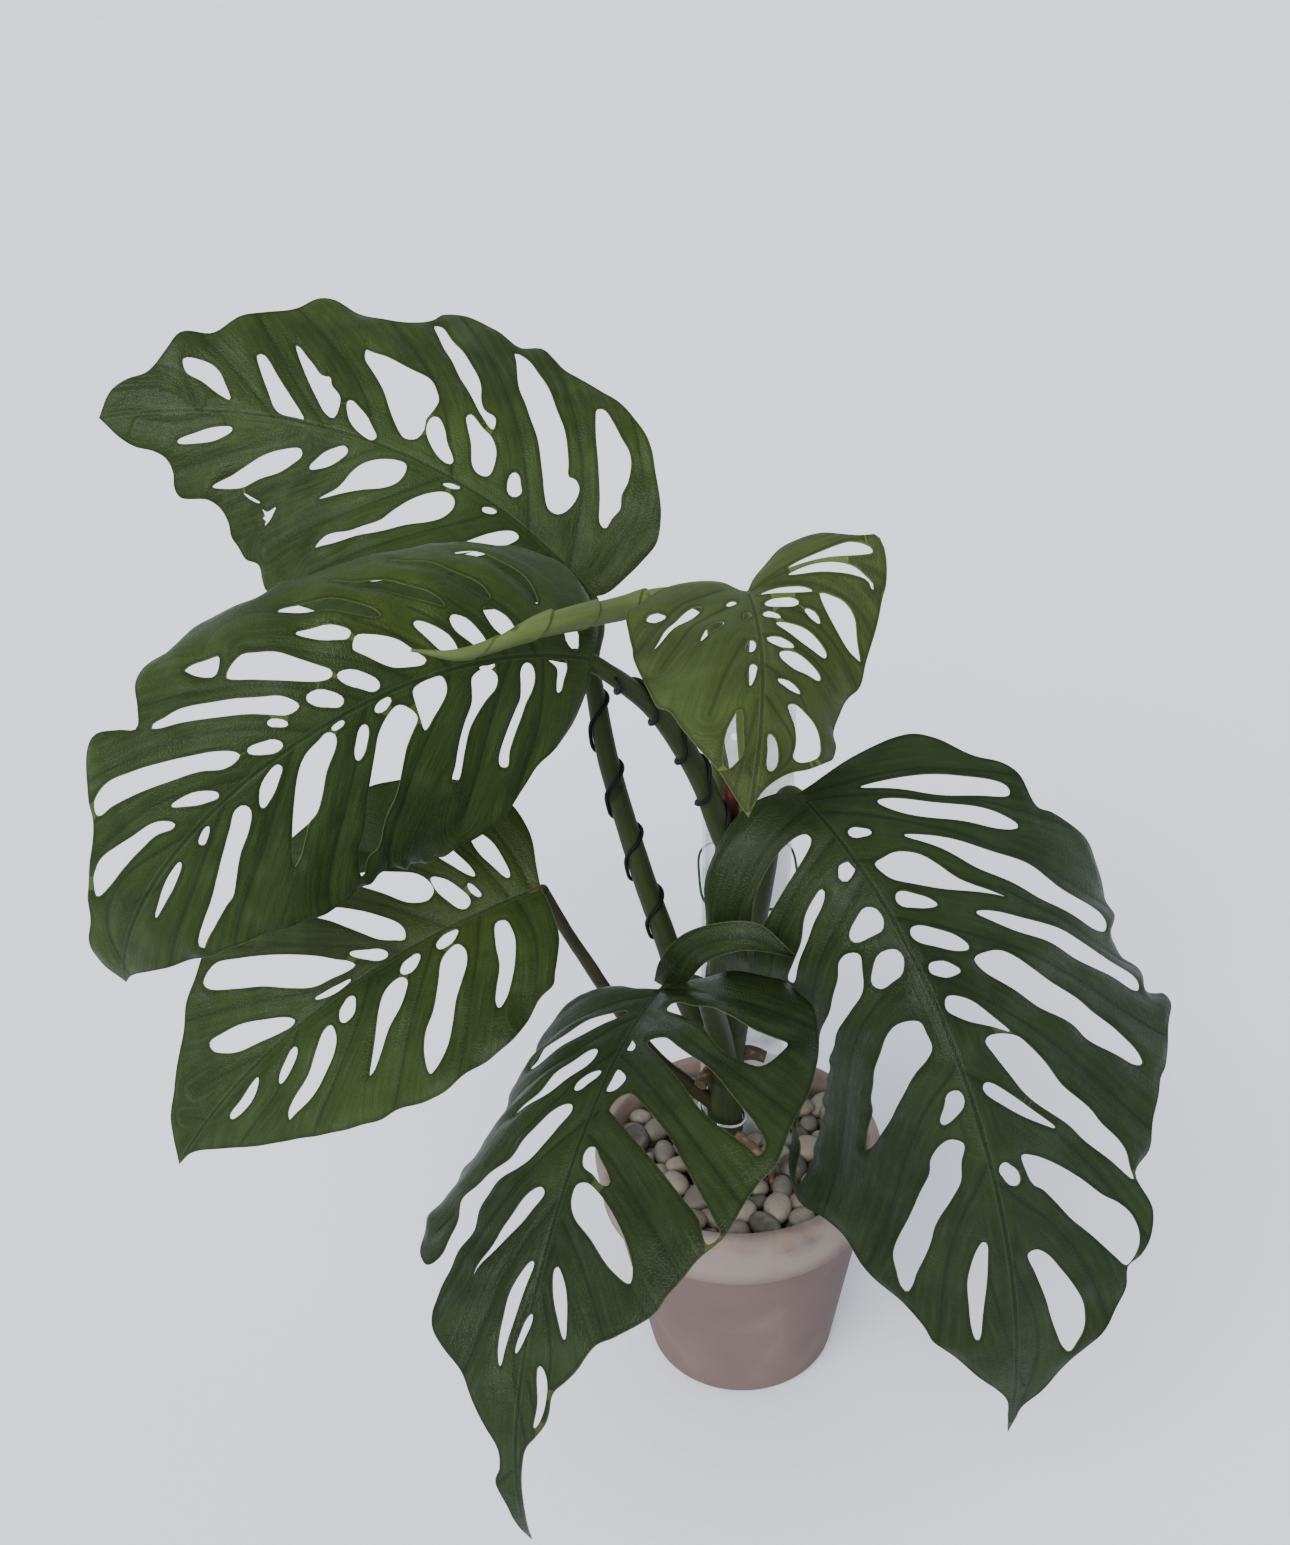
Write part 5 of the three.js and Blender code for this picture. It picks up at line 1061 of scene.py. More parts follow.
def grown(name, source, tree_name, build, material, **values):
    """A plain mesh made by a geometry tree from a source mesh. values name its inputs."""
    holder = bpy.data.objects.new(name + "_source", source)
    bpy.context.scene.collection.objects.link(holder)
    tree = shared_group(tree_name, build)
    modifier = holder.modifiers.new(tree_name, "NODES")
    modifier.node_group = tree
    wanted = {key.replace("_", " "): value for key, value in values.items()}
    wanted["Material"] = material
    for item in tree.interface.items_tree:
        if item.in_out == "INPUT" and item.name in wanted:
            modifier[item.identifier] = wanted[item.name]
    graph = bpy.context.evaluated_depsgraph_get()
    made = bpy.data.meshes.new_from_object(holder.evaluated_get(graph),
                                           preserve_all_data_layers=True, depsgraph=graph)
    holder.modifiers.remove(modifier)
    bpy.data.objects.remove(holder)
    made.name = name
    return link_mesh(name, made, material)


def line_mesh(name, points, radii, closed=False):
    """A line of points as a mesh without faces, with its thickness, in metres."""
    mesh = bpy.data.meshes.new(name + "_line")
    count = len(points)
    edges = [(i, i + 1) for i in range(count - 1)]
    if closed:
        edges.append((count - 1, 0))
    mesh.from_pydata((np.array(points) * MM).tolist(), edges, [])
    thick = mesh.attributes.new("thick", "FLOAT", "POINT")
    thick.data.foreach_set("value", np.array(radii, np.float32) * MM)
    return mesh


def make_rod(name, points, radii, material, spacing=2.0, closed=False, **values):
    """A round piece along a path, as thick as its radii read evenly along it."""
    line = points if closed else smooth_line(points, spacing)
    source = line_mesh(name, line, read_along(radii, len(line)), closed)
    return grown(name, source, "Rod along a line", build_rod_tree, material, **values)


def quadratic(first, middle, last, t):
    """Base, middle and tip values read at t between 0 and 1."""
    return first * (1 - t) * (1 - 2 * t) + middle * 4 * t * (1 - t) + last * t * (2 * t - 1)


def smoothstep(x):
    x = np.clip(x, 0, 1)
    return x * x * (3 - 2 * x)


def midrib(leaf):
    """The midrib's point, forward, across and up, one row for each station from the base."""
    heading = math.radians(leaf["heading"])
    rise = math.radians(leaf["rise"])
    flat = math.cos(rise)
    forward = Vector((math.sin(heading) * flat, -math.cos(heading) * flat, math.sin(rise)))
    across = forward.cross(Vector((0, 0, 1))).normalized()
    up = across.cross(forward)
    roll = Matrix.Rotation(math.radians(leaf["roll"]), 3, forward)
    across, up = roll @ across, roll @ up
    point = Vector()
    stations = [[*point, *forward, *across, *up]]
    first, last = leaf["droop"]
    sway = math.radians(leaf["sway"]) / RIB_STATIONS
    twist = math.radians(leaf["twist"]) / RIB_STATIONS
    for i in range(RIB_STATIONS):
        t = (i + 0.5) / RIB_STATIONS
        droop = math.radians(first + (last - first) * t) / RIB_STATIONS
        half = Matrix.Rotation(sway / 2, 3, up) @ Matrix.Rotation(-droop / 2, 3, across) @ forward
        point = point + half * (leaf["length"] / RIB_STATIONS)
        drooping = Matrix.Rotation(-droop, 3, across)
        forward, up = drooping @ forward, drooping @ up
        swaying = Matrix.Rotation(sway, 3, up)
        forward, across = swaying @ forward, swaying @ across
        twisting = Matrix.Rotation(twist, 3, forward)
        across, up = twisting @ across, twisting @ up
        stations.append([*point, *forward, *across, *up])
    return np.array(stations)


def on_blade(leaf, stations, a, b, lift):
    """Where points of the flat drawing lie in space, lifted off the blade, in millimetres."""
    a, b, lift = (np.asarray(v, float) for v in (a, b, lift))
    count = len(stations) - 1
    t = np.clip(a / leaf["length"], 0, 1)
    i = np.minimum((t * count).astype(int), count - 1)
    here = stations[i] + (stations[i + 1] - stations[i]) * (t * count - i)[:, None]
    point, forward, across, up = (here[:, k:k + 3] for k in (0, 3, 6, 9))
    fold_left, fold_right, curl_left, curl_right = (
        np.radians(quadratic(*leaf[key], t))
        for key in ("foldLeft", "foldRight", "curlLeft", "curlRight"))

    def slope(r):
        share = smoothstep((r + CREASE) / (2 * CREASE))
        curl = np.where(r < 0, curl_left / 100, curl_right / 100)
        return fold_right * share - fold_left * (1 - share) + curl * r

    sideways = np.zeros(len(b))
    upwards = np.zeros(len(b))
    for u in (np.arange(CREASE_STEPS) + 0.5) / CREASE_STEPS:
        angle = slope(b * u * u)
        step = 2 * b * u / CREASE_STEPS
        sideways += np.cos(angle) * step
        upwards += np.sin(angle) * step
    place = point + forward * (a - t * leaf["length"])[:, None]
    place += across * sideways[:, None] + up * upwards[:, None]
    angle = slope(b)
    normal = up * np.cos(angle)[:, None] - across * np.sin(angle)[:, None]
    return place * leaf["size"] + np.array(leaf["base"]) + normal * lift[:, None]


def slot_centre(hole, t):
    """Points on a slot's middle line, at t between 0 and 1."""
    a0, b0, a1, b1, a2, b2 = hole[:6]
    return np.column_stack([quadratic(a0, a1, a2, t), quadratic(b0, b1, b2, t)])


def beside(ahead):
    """Unit vectors square to some directions in the drawing."""
    ahead = ahead / np.linalg.norm(ahead, axis=1)[:, None]
    return np.column_stack([-ahead[:, 1], ahead[:, 0]])


def slot_outline(hole):
    """The outline of one hole, from its inner end round to it again."""
    near, far = hole[6:]
    reach = math.hypot(hole[4] - hole[0], hole[5] - hole[1])
    count = max(7, round(reach / MARGIN_STEP) + 3)
    t = (1 - np.cos(np.pi * np.linspace(0, 1, count))) / 2
    centre = slot_centre(hole, t)
    width = np.maximum(near + (far - near) * (2 * t - 0.5), (near + far) * 0.1)
    wobble = 1 + 0.07 * np.sin(9 * t + 1.7 * hole[0])
    half = (0.57 * width * wobble * np.maximum(np.sin(np.pi * t), 0) ** 0.4)[:, None]
    side = beside(slot_centre(hole, t + 0.01) - centre) * half
    return np.vstack([centre + side, (centre - side)[-2:0:-1]])


def hole_outline(leaf, index):
    """A hole's outline: traced through its own points, or else that of its slot."""
    traced = TRACED_HOLES[leaf["name"]].get(index)
    if traced is None:
        return slot_outline(leaf["holes"][index])
    points = np.array(traced, float).reshape(-1, 2)
    line = smooth_line([*points[-2:], *points, *points[:3]], 0.25)
    away = np.linalg.norm(line - points[0], axis=1)
    half = len(line) // 2
    return closed_line(line[away[:half].argmin():half + away[half:].argmin()], HOLE_STEP)


def rib_offset(leaf, a):
    """How far across the drawing the midrib lies at a."""
    offsets = leaf.get("rib", [0, 0])
    return np.interp(a, np.linspace(0, leaf["length"], len(offsets)), offsets)


def margin(leaf):
    """The outline of the blade, from the base along the left margin to the tip and back."""
    tip = [leaf["length"], 0]
    left = smooth_line([[0, 0], *leaf["left"], tip], MARGIN_STEP)
    right = smooth_line([[0, 0], *leaf["right"], tip], MARGIN_STEP)
    return np.vstack([left, right[-2:0:-1]])


def veins_of(leaf):
    """The lateral veins: one in the middle of each strip between two holes."""
    t = np.linspace(0, 1, 12)
    veins = []
    for chain in STRIP_HOLES[leaf["name"]]:
        lines = [slot_centre(k if isinstance(k, list) else leaf["holes"][k], t) for k in chain]
        middles = [(p + q) / 2 for p, q in zip(lines, lines[1:])]
        middles = [2 * lines[0] - middles[0], *middles, 2 * lines[-1] - middles[-1]]
        for line in middles:
            inward = line[0] - line[2]
            outward = line[-1] - line[-3]
            start = line[0] + inward * min(3.0, abs(line[0][1]) / max(0.1, abs(inward[1])))
            ends = [line[-1] + outward * k for k in (1.2, 2.6)]
            veins.append(smooth_line([start, *line, *ends], VEIN_STEP))
    return veins


def inside(polygon, points):
    """Which of the points lie inside a polygon."""
    x, y = points.T
    hits = np.zeros(len(points), int)
    for (x0, y0), (x1, y1) in zip(polygon, np.roll(polygon, -1, axis=0)):
        crossing = (y0 > y) != (y1 > y)
        hits += crossing & (x < (x1 - x0) * (y - y0) / (y1 - y0 + 1e-12) + x0)
    return hits % 2 == 1


def nearest(targets, points):
    """How far each of the points is from the nearest target, and which one that is."""
    tree = KDTree(len(targets))
    for i, (x, y) in enumerate(targets):
        tree.insert((x, y, 0), i)
    tree.balance()
    found = [tree.find((x, y, 0)) for x, y in points]
    return np.array([f[2] for f in found]), np.array([f[1] for f in found])


def closed_line(points, spacing):
    """Points evenly spaced along a closed outline of straight sides."""
    ring = np.vstack([points, points[:1]])
    along = distances(ring)
    return points_at(np.arange(0, along[-1], spacing), along, ring)


def rows_beside(line, step, offsets):
    """Points at some distances to either side of a line."""
    thinned = line[::max(1, round(step / VEIN_STEP))]
    side = beside(np.gradient(thinned, axis=0))
    return np.vstack([thinned + side * offset for offset in offsets])


def flat_blade(leaf, step):
    """The flat drawing as points and triangles, and how far each is from an edge and a vein."""
    outline = margin(leaf)
    slots = [hole_outline(leaf, k) for k in range(len(leaf["holes"]))]
    rng = np.random.default_rng(len(leaf["holes"]))
    low, high = outline.min(0), outline.max(0)
    columns = np.arange(low[0], high[0], step)
    rows = np.arange(low[1], high[1], step * ROW_HEIGHT)
    x, y = np.meshgrid(columns, rows)
    x[1::2] += step / 2
    jitter = rng.uniform(-JITTER, JITTER, (x.size, 2))
    grid = np.column_stack([x.ravel(), y.ravel()]) + jitter * step
    stops = np.arange(1, leaf["length"], VEIN_STEP)
    rib = np.column_stack([stops, rib_offset(leaf, stops)])
    veins = veins_of(leaf)
    lines = [rib, *veins]
    tracks = [rows_beside(rib, 1.6, (0, 1.1, -1.1, 2.4, -2.4))]
    tracks += [rows_beside(line, 1.8, (0, 0.9, -0.9)) for line in veins]
    tracks = np.vstack(tracks)
    grid = grid[nearest(tracks, grid)[0] > 0.62 * step]
    inner = np.vstack([tracks, grid])
    inner = inner[inside(outline, inner)]
    for ring in slots:
        inner = inner[~inside(ring, inner)]
    edges = np.vstack([closed_line(ring, VEIN_STEP) for ring in [outline, *slots]])
    inner = inner[nearest(edges, inner)[0] > 0.5 * step]
    points = np.vstack([outline, *slots, inner])
    constraints = []
    start = 0
    for ring in [outline, *slots]:
        count = len(ring)
        constraints += [(start + i, start + (i + 1) % count) for i in range(count)]
        start += count
    cut = delaunay_2d_cdt([Vector(p) for p in points], constraints, [], 0, 1e-4)
    points = np.array([tuple(p) for p in cut[0]])
    triangles = np.array([face for face in cut[2] if len(face) == 3])
    centres = points[triangles].mean(1)
    kept = inside(outline, centres)
    for ring in slots:
        kept &= ~inside(ring, centres)
    triangles = triangles[kept]
    used, triangles = np.unique(triangles, return_inverse=True)
    points = points[used]
    triangles = triangles.reshape(-1, 3)
    spans = points[triangles]
    first, second = spans[:, 1] - spans[:, 0], spans[:, 2] - spans[:, 0]
    backwards = first[:, 0] * second[:, 1] - first[:, 1] * second[:, 0] < 0
    triangles[backwards] = triangles[backwards][:, ::-1]
    edge = nearest(edges, points)[0]
    vein, spot = nearest(np.vstack(lines), points)
    along = np.concatenate([np.arange(len(line)) for line in lines])[spot] * VEIN_STEP
    return points, triangles, edge, vein, along


def boundary(triangles):
    """The directed edges that only one triangle has."""
    pairs = np.vstack([triangles[:, [0, 1]], triangles[:, [1, 2]], triangles[:, [2, 0]]])
    have = set(map(tuple, pairs.tolist()))
    return np.array([pair for pair in have if pair[::-1] not in have])


def finish_blade(name, points, faces, layers, flat, material):
    """A blade's piece, with what its material reads at each point, and its drawing as UVs."""
    mesh = bpy.data.meshes.new(name)
    mesh.from_pydata((points * MM).tolist(), [], faces)
    for key, values in layers.items():
        layer = mesh.attributes.new(key, "FLOAT", "POINT")
        layer.data.foreach_set("value", values.astype(np.float32))
    corners = np.zeros(len(mesh.loops), int)
    mesh.loops.foreach_get("vertex_index", corners)
    drawing = mesh.uv_layers.new(name="drawing")
    drawing.data.foreach_set("uv", (flat[corners] * MM * 10).astype(np.float32).ravel())
    mesh.shade_smooth()
    mesh.set_sharp_from_angle(angle=math.radians(55))
    return link_mesh(name, mesh, material)


def make_blade(leaf, settings, material):
    """A leaf's blade: two faces and its cut edges, with veins, bulges and waves in the form."""
    step = settings.mesh_step / MM
    points, triangles, edge, vein, along = flat_blade(leaf, step)
    a, b = points.T
    rib = np.abs(b - rib_offset(leaf, a))
    stations = midrib(leaf)
    small = leaf["length"] < SMALL_LEAF
    reach = settings.bulge_width / MM * (0.6 if small else 1)
    rise = settings.bulge / MM * (0.5 if small else 1)
    fade = smoothstep(edge / 5)
    lift = rise * (1 - np.exp(-(vein / reach) ** 2)) * (0.35 + 0.65 * fade)
    lift -= settings.groove / MM * np.exp(-(vein / 0.9) ** 2) * fade
    shape = np.sin(a * 0.19 + 1.3 * np.sin(b * 0.05)) + 0.6 * np.sin(a * 0.31 + b * 0.11 + 2)
    lift += settings.waves / MM * shape * smoothstep(1 - edge / 14) * smoothstep(np.abs(b) / 40)
    taper = 1 - np.clip(a / leaf["length"], 0, 1)
    half = settings.thickness / MM / 2 * (0.55 + 0.45 * smoothstep(edge / 2.5))
    spine = (1.3 * taper + 0.25) * np.exp(-(rib / (1.2 + 1.6 * taper)) ** 2)
    spine += 0.35 * np.exp(-(vein / 0.9) ** 2) * fade
    upper = on_blade(leaf, stations, a, b, lift + half)
    lower = on_blade(leaf, stations, a, b, lift - half - spine)
    count = len(points)
    walls = boundary(triangles)
    faces = triangles[:, ::-1].tolist() + (triangles + count).tolist()
    faces += [(p, q, q + count, p + count) for p, q in walls.tolist()]
    read = {"edge": edge / FAR, "vein": vein / FAR, "rib": rib / FAR, "along": along / 100}
    layers = {key: np.tile(np.minimum(values, 3), 2) for key, values in read.items()}
    layers["under"] = np.repeat([0.0, 1.0], count)
    return finish_blade(leaf["name"].replace("leaf", "blade"), np.vstack([upper, lower]), faces,
                        layers, np.tile(points, (2, 1)), material)


def make_stalk(leaf, material):
    """A leaf's stalk, run out under the midrib."""
    stations = midrib(leaf)
    span = leaf["length"]
    a = np.array([0.16, 0.09, 0.04, 0]) * span
    thick = leaf["stalkRadius"][0]
    under = on_blade(leaf, stations, a, rib_offset(leaf, a), [-1.4, -0.7 * thick, -thick, -thick])
    line = smooth_line([*under, *leaf["stalk"]], 2.0)
    below = np.linalg.norm(line - under[-1], axis=1).argmin()
    radii = np.concatenate([
        np.linspace(0.8, leaf["stalkRadius"][0], below),
        read_along(leaf["stalkRadius"], len(line) - below)])
    name = leaf["name"].replace("leaf", "stalk")
    source = line_mesh(name, line, radii)
    return grown(name, source, "Rod along a line", build_rod_tree, material, Sides=24,
                 Unevenness=0.0006, Unevenness_scale=60.0, Seam=0.06)


def turned(profile, segments):
    """Points and faces of a profile of (radius, height) turned about Z, closed on the axis."""
    points = [(0, 0, profile[0][1])]
    faces = []
    middle = profile[1:-1]
    for radius, height in middle:
        points += [(radius * math.cos(2 * math.pi * i / segments),
                    radius * math.sin(2 * math.pi * i / segments), height) for i in range(segments)]
    points.append((0, 0, profile[-1][1]))
    last = len(points) - 1
    for i in range(segments):
        j = (i + 1) % segments
        faces.append((0, 1 + j, 1 + i))
        for k in range(len(middle) - 1):
            low = 1 + k * segments
            high = low + segments
            faces.append((low + i, low + j, high + j, high + i))
        top = 1 + (len(middle) - 1) * segments
        faces.append((top + i, top + j, last))
    return points, faces


def rounded(corners, steps=5):
    """A profile with its corners rounded. A corner is (radius, height, rounding)."""
    line = []
    for i, (x, z, rounding) in enumerate(corners):
        if rounding == 0 or i in (0, len(corners) - 1):
            line.append((x, z))
            continue
        here = Vector((x, z))
        before = (Vector(corners[i - 1][:2]) - here).normalized() * rounding + here
        after = (Vector(corners[i + 1][:2]) - here).normalized() * rounding + here
        for k in range(steps + 1):
            t = k / steps
            line.append(tuple(before * (1 - t) ** 2 + here * 2 * t * (1 - t) + after * t * t))
    return line


def make_pot(settings):
    """The pot: a tapered body, a raised band, a rounded lip and three drain holes."""
    top, rim, foot, wall = (settings.height, settings.rim_radius, settings.foot_radius,
                            settings.wall)
    shoulder = top - settings.rim_band
    neck = rim - wall
    profile = rounded([
        (0, 0, 0), (foot - 0.002, 0, 0.0008), (foot, 0.002, 0.0012), (neck, shoulder, 0.0012),
        (rim - 0.0032, shoulder + 0.0008, 0.002), (rim, top - 0.004, 0.003),
        (rim - 0.0022, top, 0.002), (neck + 0.001, top, 0.0016), (neck, top - 0.003, 0.0016),
        (neck - wall + 0.003, shoulder, 0.004), (foot - wall, POT_FLOOR, 0.004),
        (0, POT_FLOOR, 0)])
    points, faces = turned(profile, 160)
    mesh = bpy.data.meshes.new("clay_pot")
    mesh.from_pydata(points, [], faces)
    material = clay_material(settings)
    drill = bpy.data.meshes.new("drill")
    ring, ring_faces = turned([(0, -0.001), (DRAIN_RADIUS, -0.001),
                               (DRAIN_RADIUS, POT_FLOOR + 0.001), (0, POT_FLOOR + 0.001)], 32)
    holes, sides = [], []
    for angle in DRAIN_ANGLES:
        turn = math.radians(angle)
        middle = Vector((math.cos(turn), math.sin(turn), 0)) * DRAIN_OFFSET
        start = len(holes)
        holes += [Vector(p) + middle for p in ring]
        sides += [tuple(start + i for i in face) for face in ring_faces]
    drill.from_pydata(holes, [], sides)
    cutter = link_mesh("drill", drill, material)
    pot = link_mesh("clay_pot", mesh, material)
    cut = pot.modifiers.new("drains", "BOOLEAN")
    cut.object = cutter
    cut.operation = "DIFFERENCE"
    cut.solver = "EXACT"
    graph = bpy.context.evaluated_depsgraph_get()
    whole = bpy.data.meshes.new_from_object(pot.evaluated_get(graph), depsgraph=graph)
    pot.modifiers.clear()
    pot.data = whole
    whole.materials.clear()
    whole.materials.append(material)
    whole.shade_smooth()
    whole.set_sharp_from_angle(angle=math.radians(50))
    bpy.data.objects.remove(cutter)
    return finish_piece(pot, "terracotta", "pot")


def scattered_pebbles(settings):
    """Centres and sizes of pebbles that have pushed each other apart in two layers."""
    rng = random.Random(settings.seed)
    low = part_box("pebbles")[0].z
    room = POT_BOX[1].x - RIM_CLEARANCE
    posts = [(STEM_PATH[0][0] * MM, STEM_PATH[0][1] * MM, STEM_CLEARANCE)]
    posts += [(path[-1][0] * MM, path[-1][1] * MM, ROOT_CLEARANCE) for path in ROOTS]
    middle = STAKE_BOX[0].x + STAKE_MIDDLE
    posts += [(middle + STAKE_POST_STEP * k, STAKE_POST_DEPTH, STAKE_CLEARANCE)
              for k in range(-3, 4)]
    stones = []
    for layer, count in enumerate(PEBBLES_IN_LAYERS):
        for _ in range(count):
            reach = room * math.sqrt(rng.random())
            angle = rng.uniform(0, 2 * math.pi)
            radius = settings.pebble * rng.uniform(0.6, 1.3)
            stones.append([reach * math.cos(angle), reach * math.sin(angle), radius, layer])
    for _ in range(SETTLING_PASSES):
        for i, one in enumerate(stones):
            for other in stones[i + 1:]:
                if one[3] != other[3]:
                    continue
                dx, dy = other[0] - one[0], other[1] - one[1]
                gap = math.hypot(dx, dy) or 1e-6
                need = (one[2] + other[2]) * PEBBLE_CLOSENESS
                if gap < need:
                    push = (need - gap) / gap * PEBBLE_PUSH
                    one[0] -= dx * push
                    one[1] -= dy * push
                    other[0] += dx * push
                    other[1] += dy * push
            for x, y, radius in posts:
                dx, dy = one[0] - x, one[1] - y
                gap = math.hypot(dx, dy) or 1e-6
                need = radius + one[2] * 0.9
                if gap < need:
                    one[0] = x + dx * need / gap
                    one[1] = y + dy * need / gap
            reach = math.hypot(one[0], one[1])
            if reach > room - one[2]:
                one[0] *= (room - one[2]) / reach
                one[1] *= (room - one[2]) / reach
    return [(x, y, low + radius * 0.55 + layer * PEBBLE_LAYER_RISE, radius)
            for x, y, radius, layer in stones]


def build_pebble_tree(name):
    """A pebble on each point, squashed, turned and worn by its own numbers."""
    tree, start, end = group_tree(name, "GeometryNodeTree", [
        ("Geometry", "Geometry", None), ("Seed", "Int", 0), ("Flatness", "Float", 0.66),
        ("Wear", "Float", 0.0016), ("Material", "Material", None)], [("Geometry", "Geometry")])
    give = start.outputs
    stone = add_node(tree, "GeometryNodeMeshIcoSphere", {
        "Radius": 1.0, "Subdivisions": 3}).outputs[0]
    size = named(tree, "thick")

    def drawn(low, high, seed):
        return add_node(tree, "FunctionNodeRandomValue", {
            2: low, 3: high, "Seed": plus(tree, give["Seed"], float(seed))}).outputs[1]

    scale = combined(tree, times(tree, size, drawn(0.95, 1.45, 1)),
                     times(tree, size, drawn(0.7, 0.98, 2)),
                     times(tree, size, times(tree, give["Flatness"], drawn(0.85, 1.2, 3))))
    turn = combined(tree, drawn(-0.35, 0.35, 4), drawn(-0.35, 0.35, 5), drawn(0.0, math.pi, 6))
    turn = add_node(tree, "FunctionNodeEulerToRotation", {0: turn}).outputs[0]
    points = stored(tree, give["Geometry"], "tone", drawn(0.0, 1.0, 7))
    stones = add_node(tree, "GeometryNodeInstanceOnPoints", {
        "Points": points, "Instance": stone, "Rotation": turn, "Scale": scale}).outputs[0]
    stones = add_node(tree, "GeometryNodeRealizeInstances", {0: stones}).outputs[0]
    worn = times(tree, uneven(tree, 75.0, 2), give["Wear"])
    close_tree(tree, raised(tree, stones, worn), give["Material"], end)
    return tree


def make_pebbles(settings):
    stones = scattered_pebbles(settings)
    source = bpy.data.meshes.new("stones")
    source.from_pydata([stone[:3] for stone in stones], [], [])
    thick = source.attributes.new("thick", "FLOAT", "POINT")
    thick.data.foreach_set("value", np.array([stone[3] for stone in stones], np.float32))
    piece = grown("river_pebbles", source, "Scattered pebbles", build_pebble_tree,
                  pebble_material(settings), Seed=settings.seed)
    return finish_piece(piece, "pebbles", "pebbles")


def build_perforated_tree(name):
    """Small round holes cut through the modifier's own mesh, in two rows up it."""
    tree, start, end = group_tree(name, "GeometryNodeTree", [
        ("Geometry", "Geometry", None), ("Rows", "Int", 6), ("Spacing", "Float", 0.042),
        ("First hole", "Vector", (0, 0, 0)), ("Row step", "Vector", (0.012, 0, 0)),
        ("Lean", "Float", 0.0), ("Hole radius", "Float", 0.0024), ("Material", "Material", None)],
        [("Geometry", "Geometry")])
    give = start.outputs
    rise = combined(tree, times(tree, give["Spacing"], maths(tree, "TANGENT", give["Lean"])), 0.0,
                    give["Spacing"])
    drill = add_node(tree, "GeometryNodeMeshCylinder", {
        "Vertices": 20, "Radius": give["Hole radius"], "Depth": 0.012}).outputs[0]
    second = vector_maths(tree, "ADD", give["First hole"], give["Row step"])
    cutters = []
    for first in (give["First hole"], second):
        row = add_node(tree, "GeometryNodeMeshLine", {
            "Count": give["Rows"], "Start Location": first, "Offset": rise,
        }, mode="OFFSET").outputs[0]
        turn = add_node(tree, "FunctionNodeEulerToRotation", {0: (math.pi / 2, 0, 0)}).outputs[0]
        cutters.append(add_node(tree, "GeometryNodeInstanceOnPoints", {
            "Points": row, "Instance": drill, "Rotation": turn}).outputs[0])
    both = add_node(tree, "GeometryNodeJoinGeometry")
    for cutter in cutters:
        tree.links.new(cutter, both.inputs[0])
    solid = add_node(tree, "GeometryNodeRealizeInstances", {0: both.outputs[0]}).outputs[0]
    cut = add_node(tree, "GeometryNodeMeshBoolean", {0: give["Geometry"], 1: solid},
                   operation="DIFFERENCE")
    whole = add_node(tree, "GeometryNodeRealizeInstances", {0: cut.outputs[0]}).outputs[0]
    dressed = add_node(tree, "GeometryNodeSetMaterial", {0: whole, "Material": give["Material"]})
    tree.links.new(dressed.outputs[0], end.inputs[0])
    return tree


def make_stake(settings):
    """The clear half-round stake with two rows of small holes, hollow side to the front."""
    lean = math.radians(STAKE_LEAN)
    count = 28
    section = []
    for inset in (0, STAKE_WALL):
        reach, deep = STAKE_HALF_WIDTH - inset, STAKE_DEPTH - inset
        arc = []
        for i in range(count + 1):
            angle = math.pi * i / count
            x, y = math.cos(angle), math.sin(angle)
            arc.append((reach * math.copysign(abs(x) ** 0.8, x), deep * abs(y) ** 0.7))
        section.append(arc)
    ring = section[0] + section[1][::-1]
    heights = np.linspace(STAKE_SHOWS_FROM, STAKE_TOP, 40)
    points, faces = [], []
    for z in heights:
        slant = (z - STAKE_FOOT) * math.tan(lean)
        points += [((x + slant) * MM, (y + STAKE_FRONT) * MM, z * MM) for x, y in ring]
    n = len(ring)
    for k in range(len(heights) - 1):
        for i in range(n):
            j = (i + 1) % n
            faces.append((k * n + i, k * n + j, (k + 1) * n + j, (k + 1) * n + i))
    last = (len(heights) - 1) * n
    for i in range(count):
        j = n - 1 - i
        faces.append((i, j, j - 1, i + 1))
        faces.append((last + i, last + i + 1, last + j - 1, last + j))
    source = bpy.data.meshes.new("stake_shell")
    source.from_pydata(points, [], faces)
    material = plastic_material(settings)
    first_hole = ((-6 + (FIRST_HOLE - STAKE_FOOT) * math.tan(lean)) * MM,
                  (STAKE_FRONT + STAKE_DEPTH - 1) * MM, FIRST_HOLE * MM)
    piece = grown("clear_stake", source, "Perforations", build_perforated_tree, material,
                  Rows=6, Spacing=0.042, Lean=lean, First_hole=first_hole,
                  Row_step=(0.012, 0, 0), Hole_radius=0.0024)
    piece.data.shade_smooth()
    piece.data.set_sharp_from_angle(angle=math.radians(40))
    return finish_piece(piece, "stake", "stake")


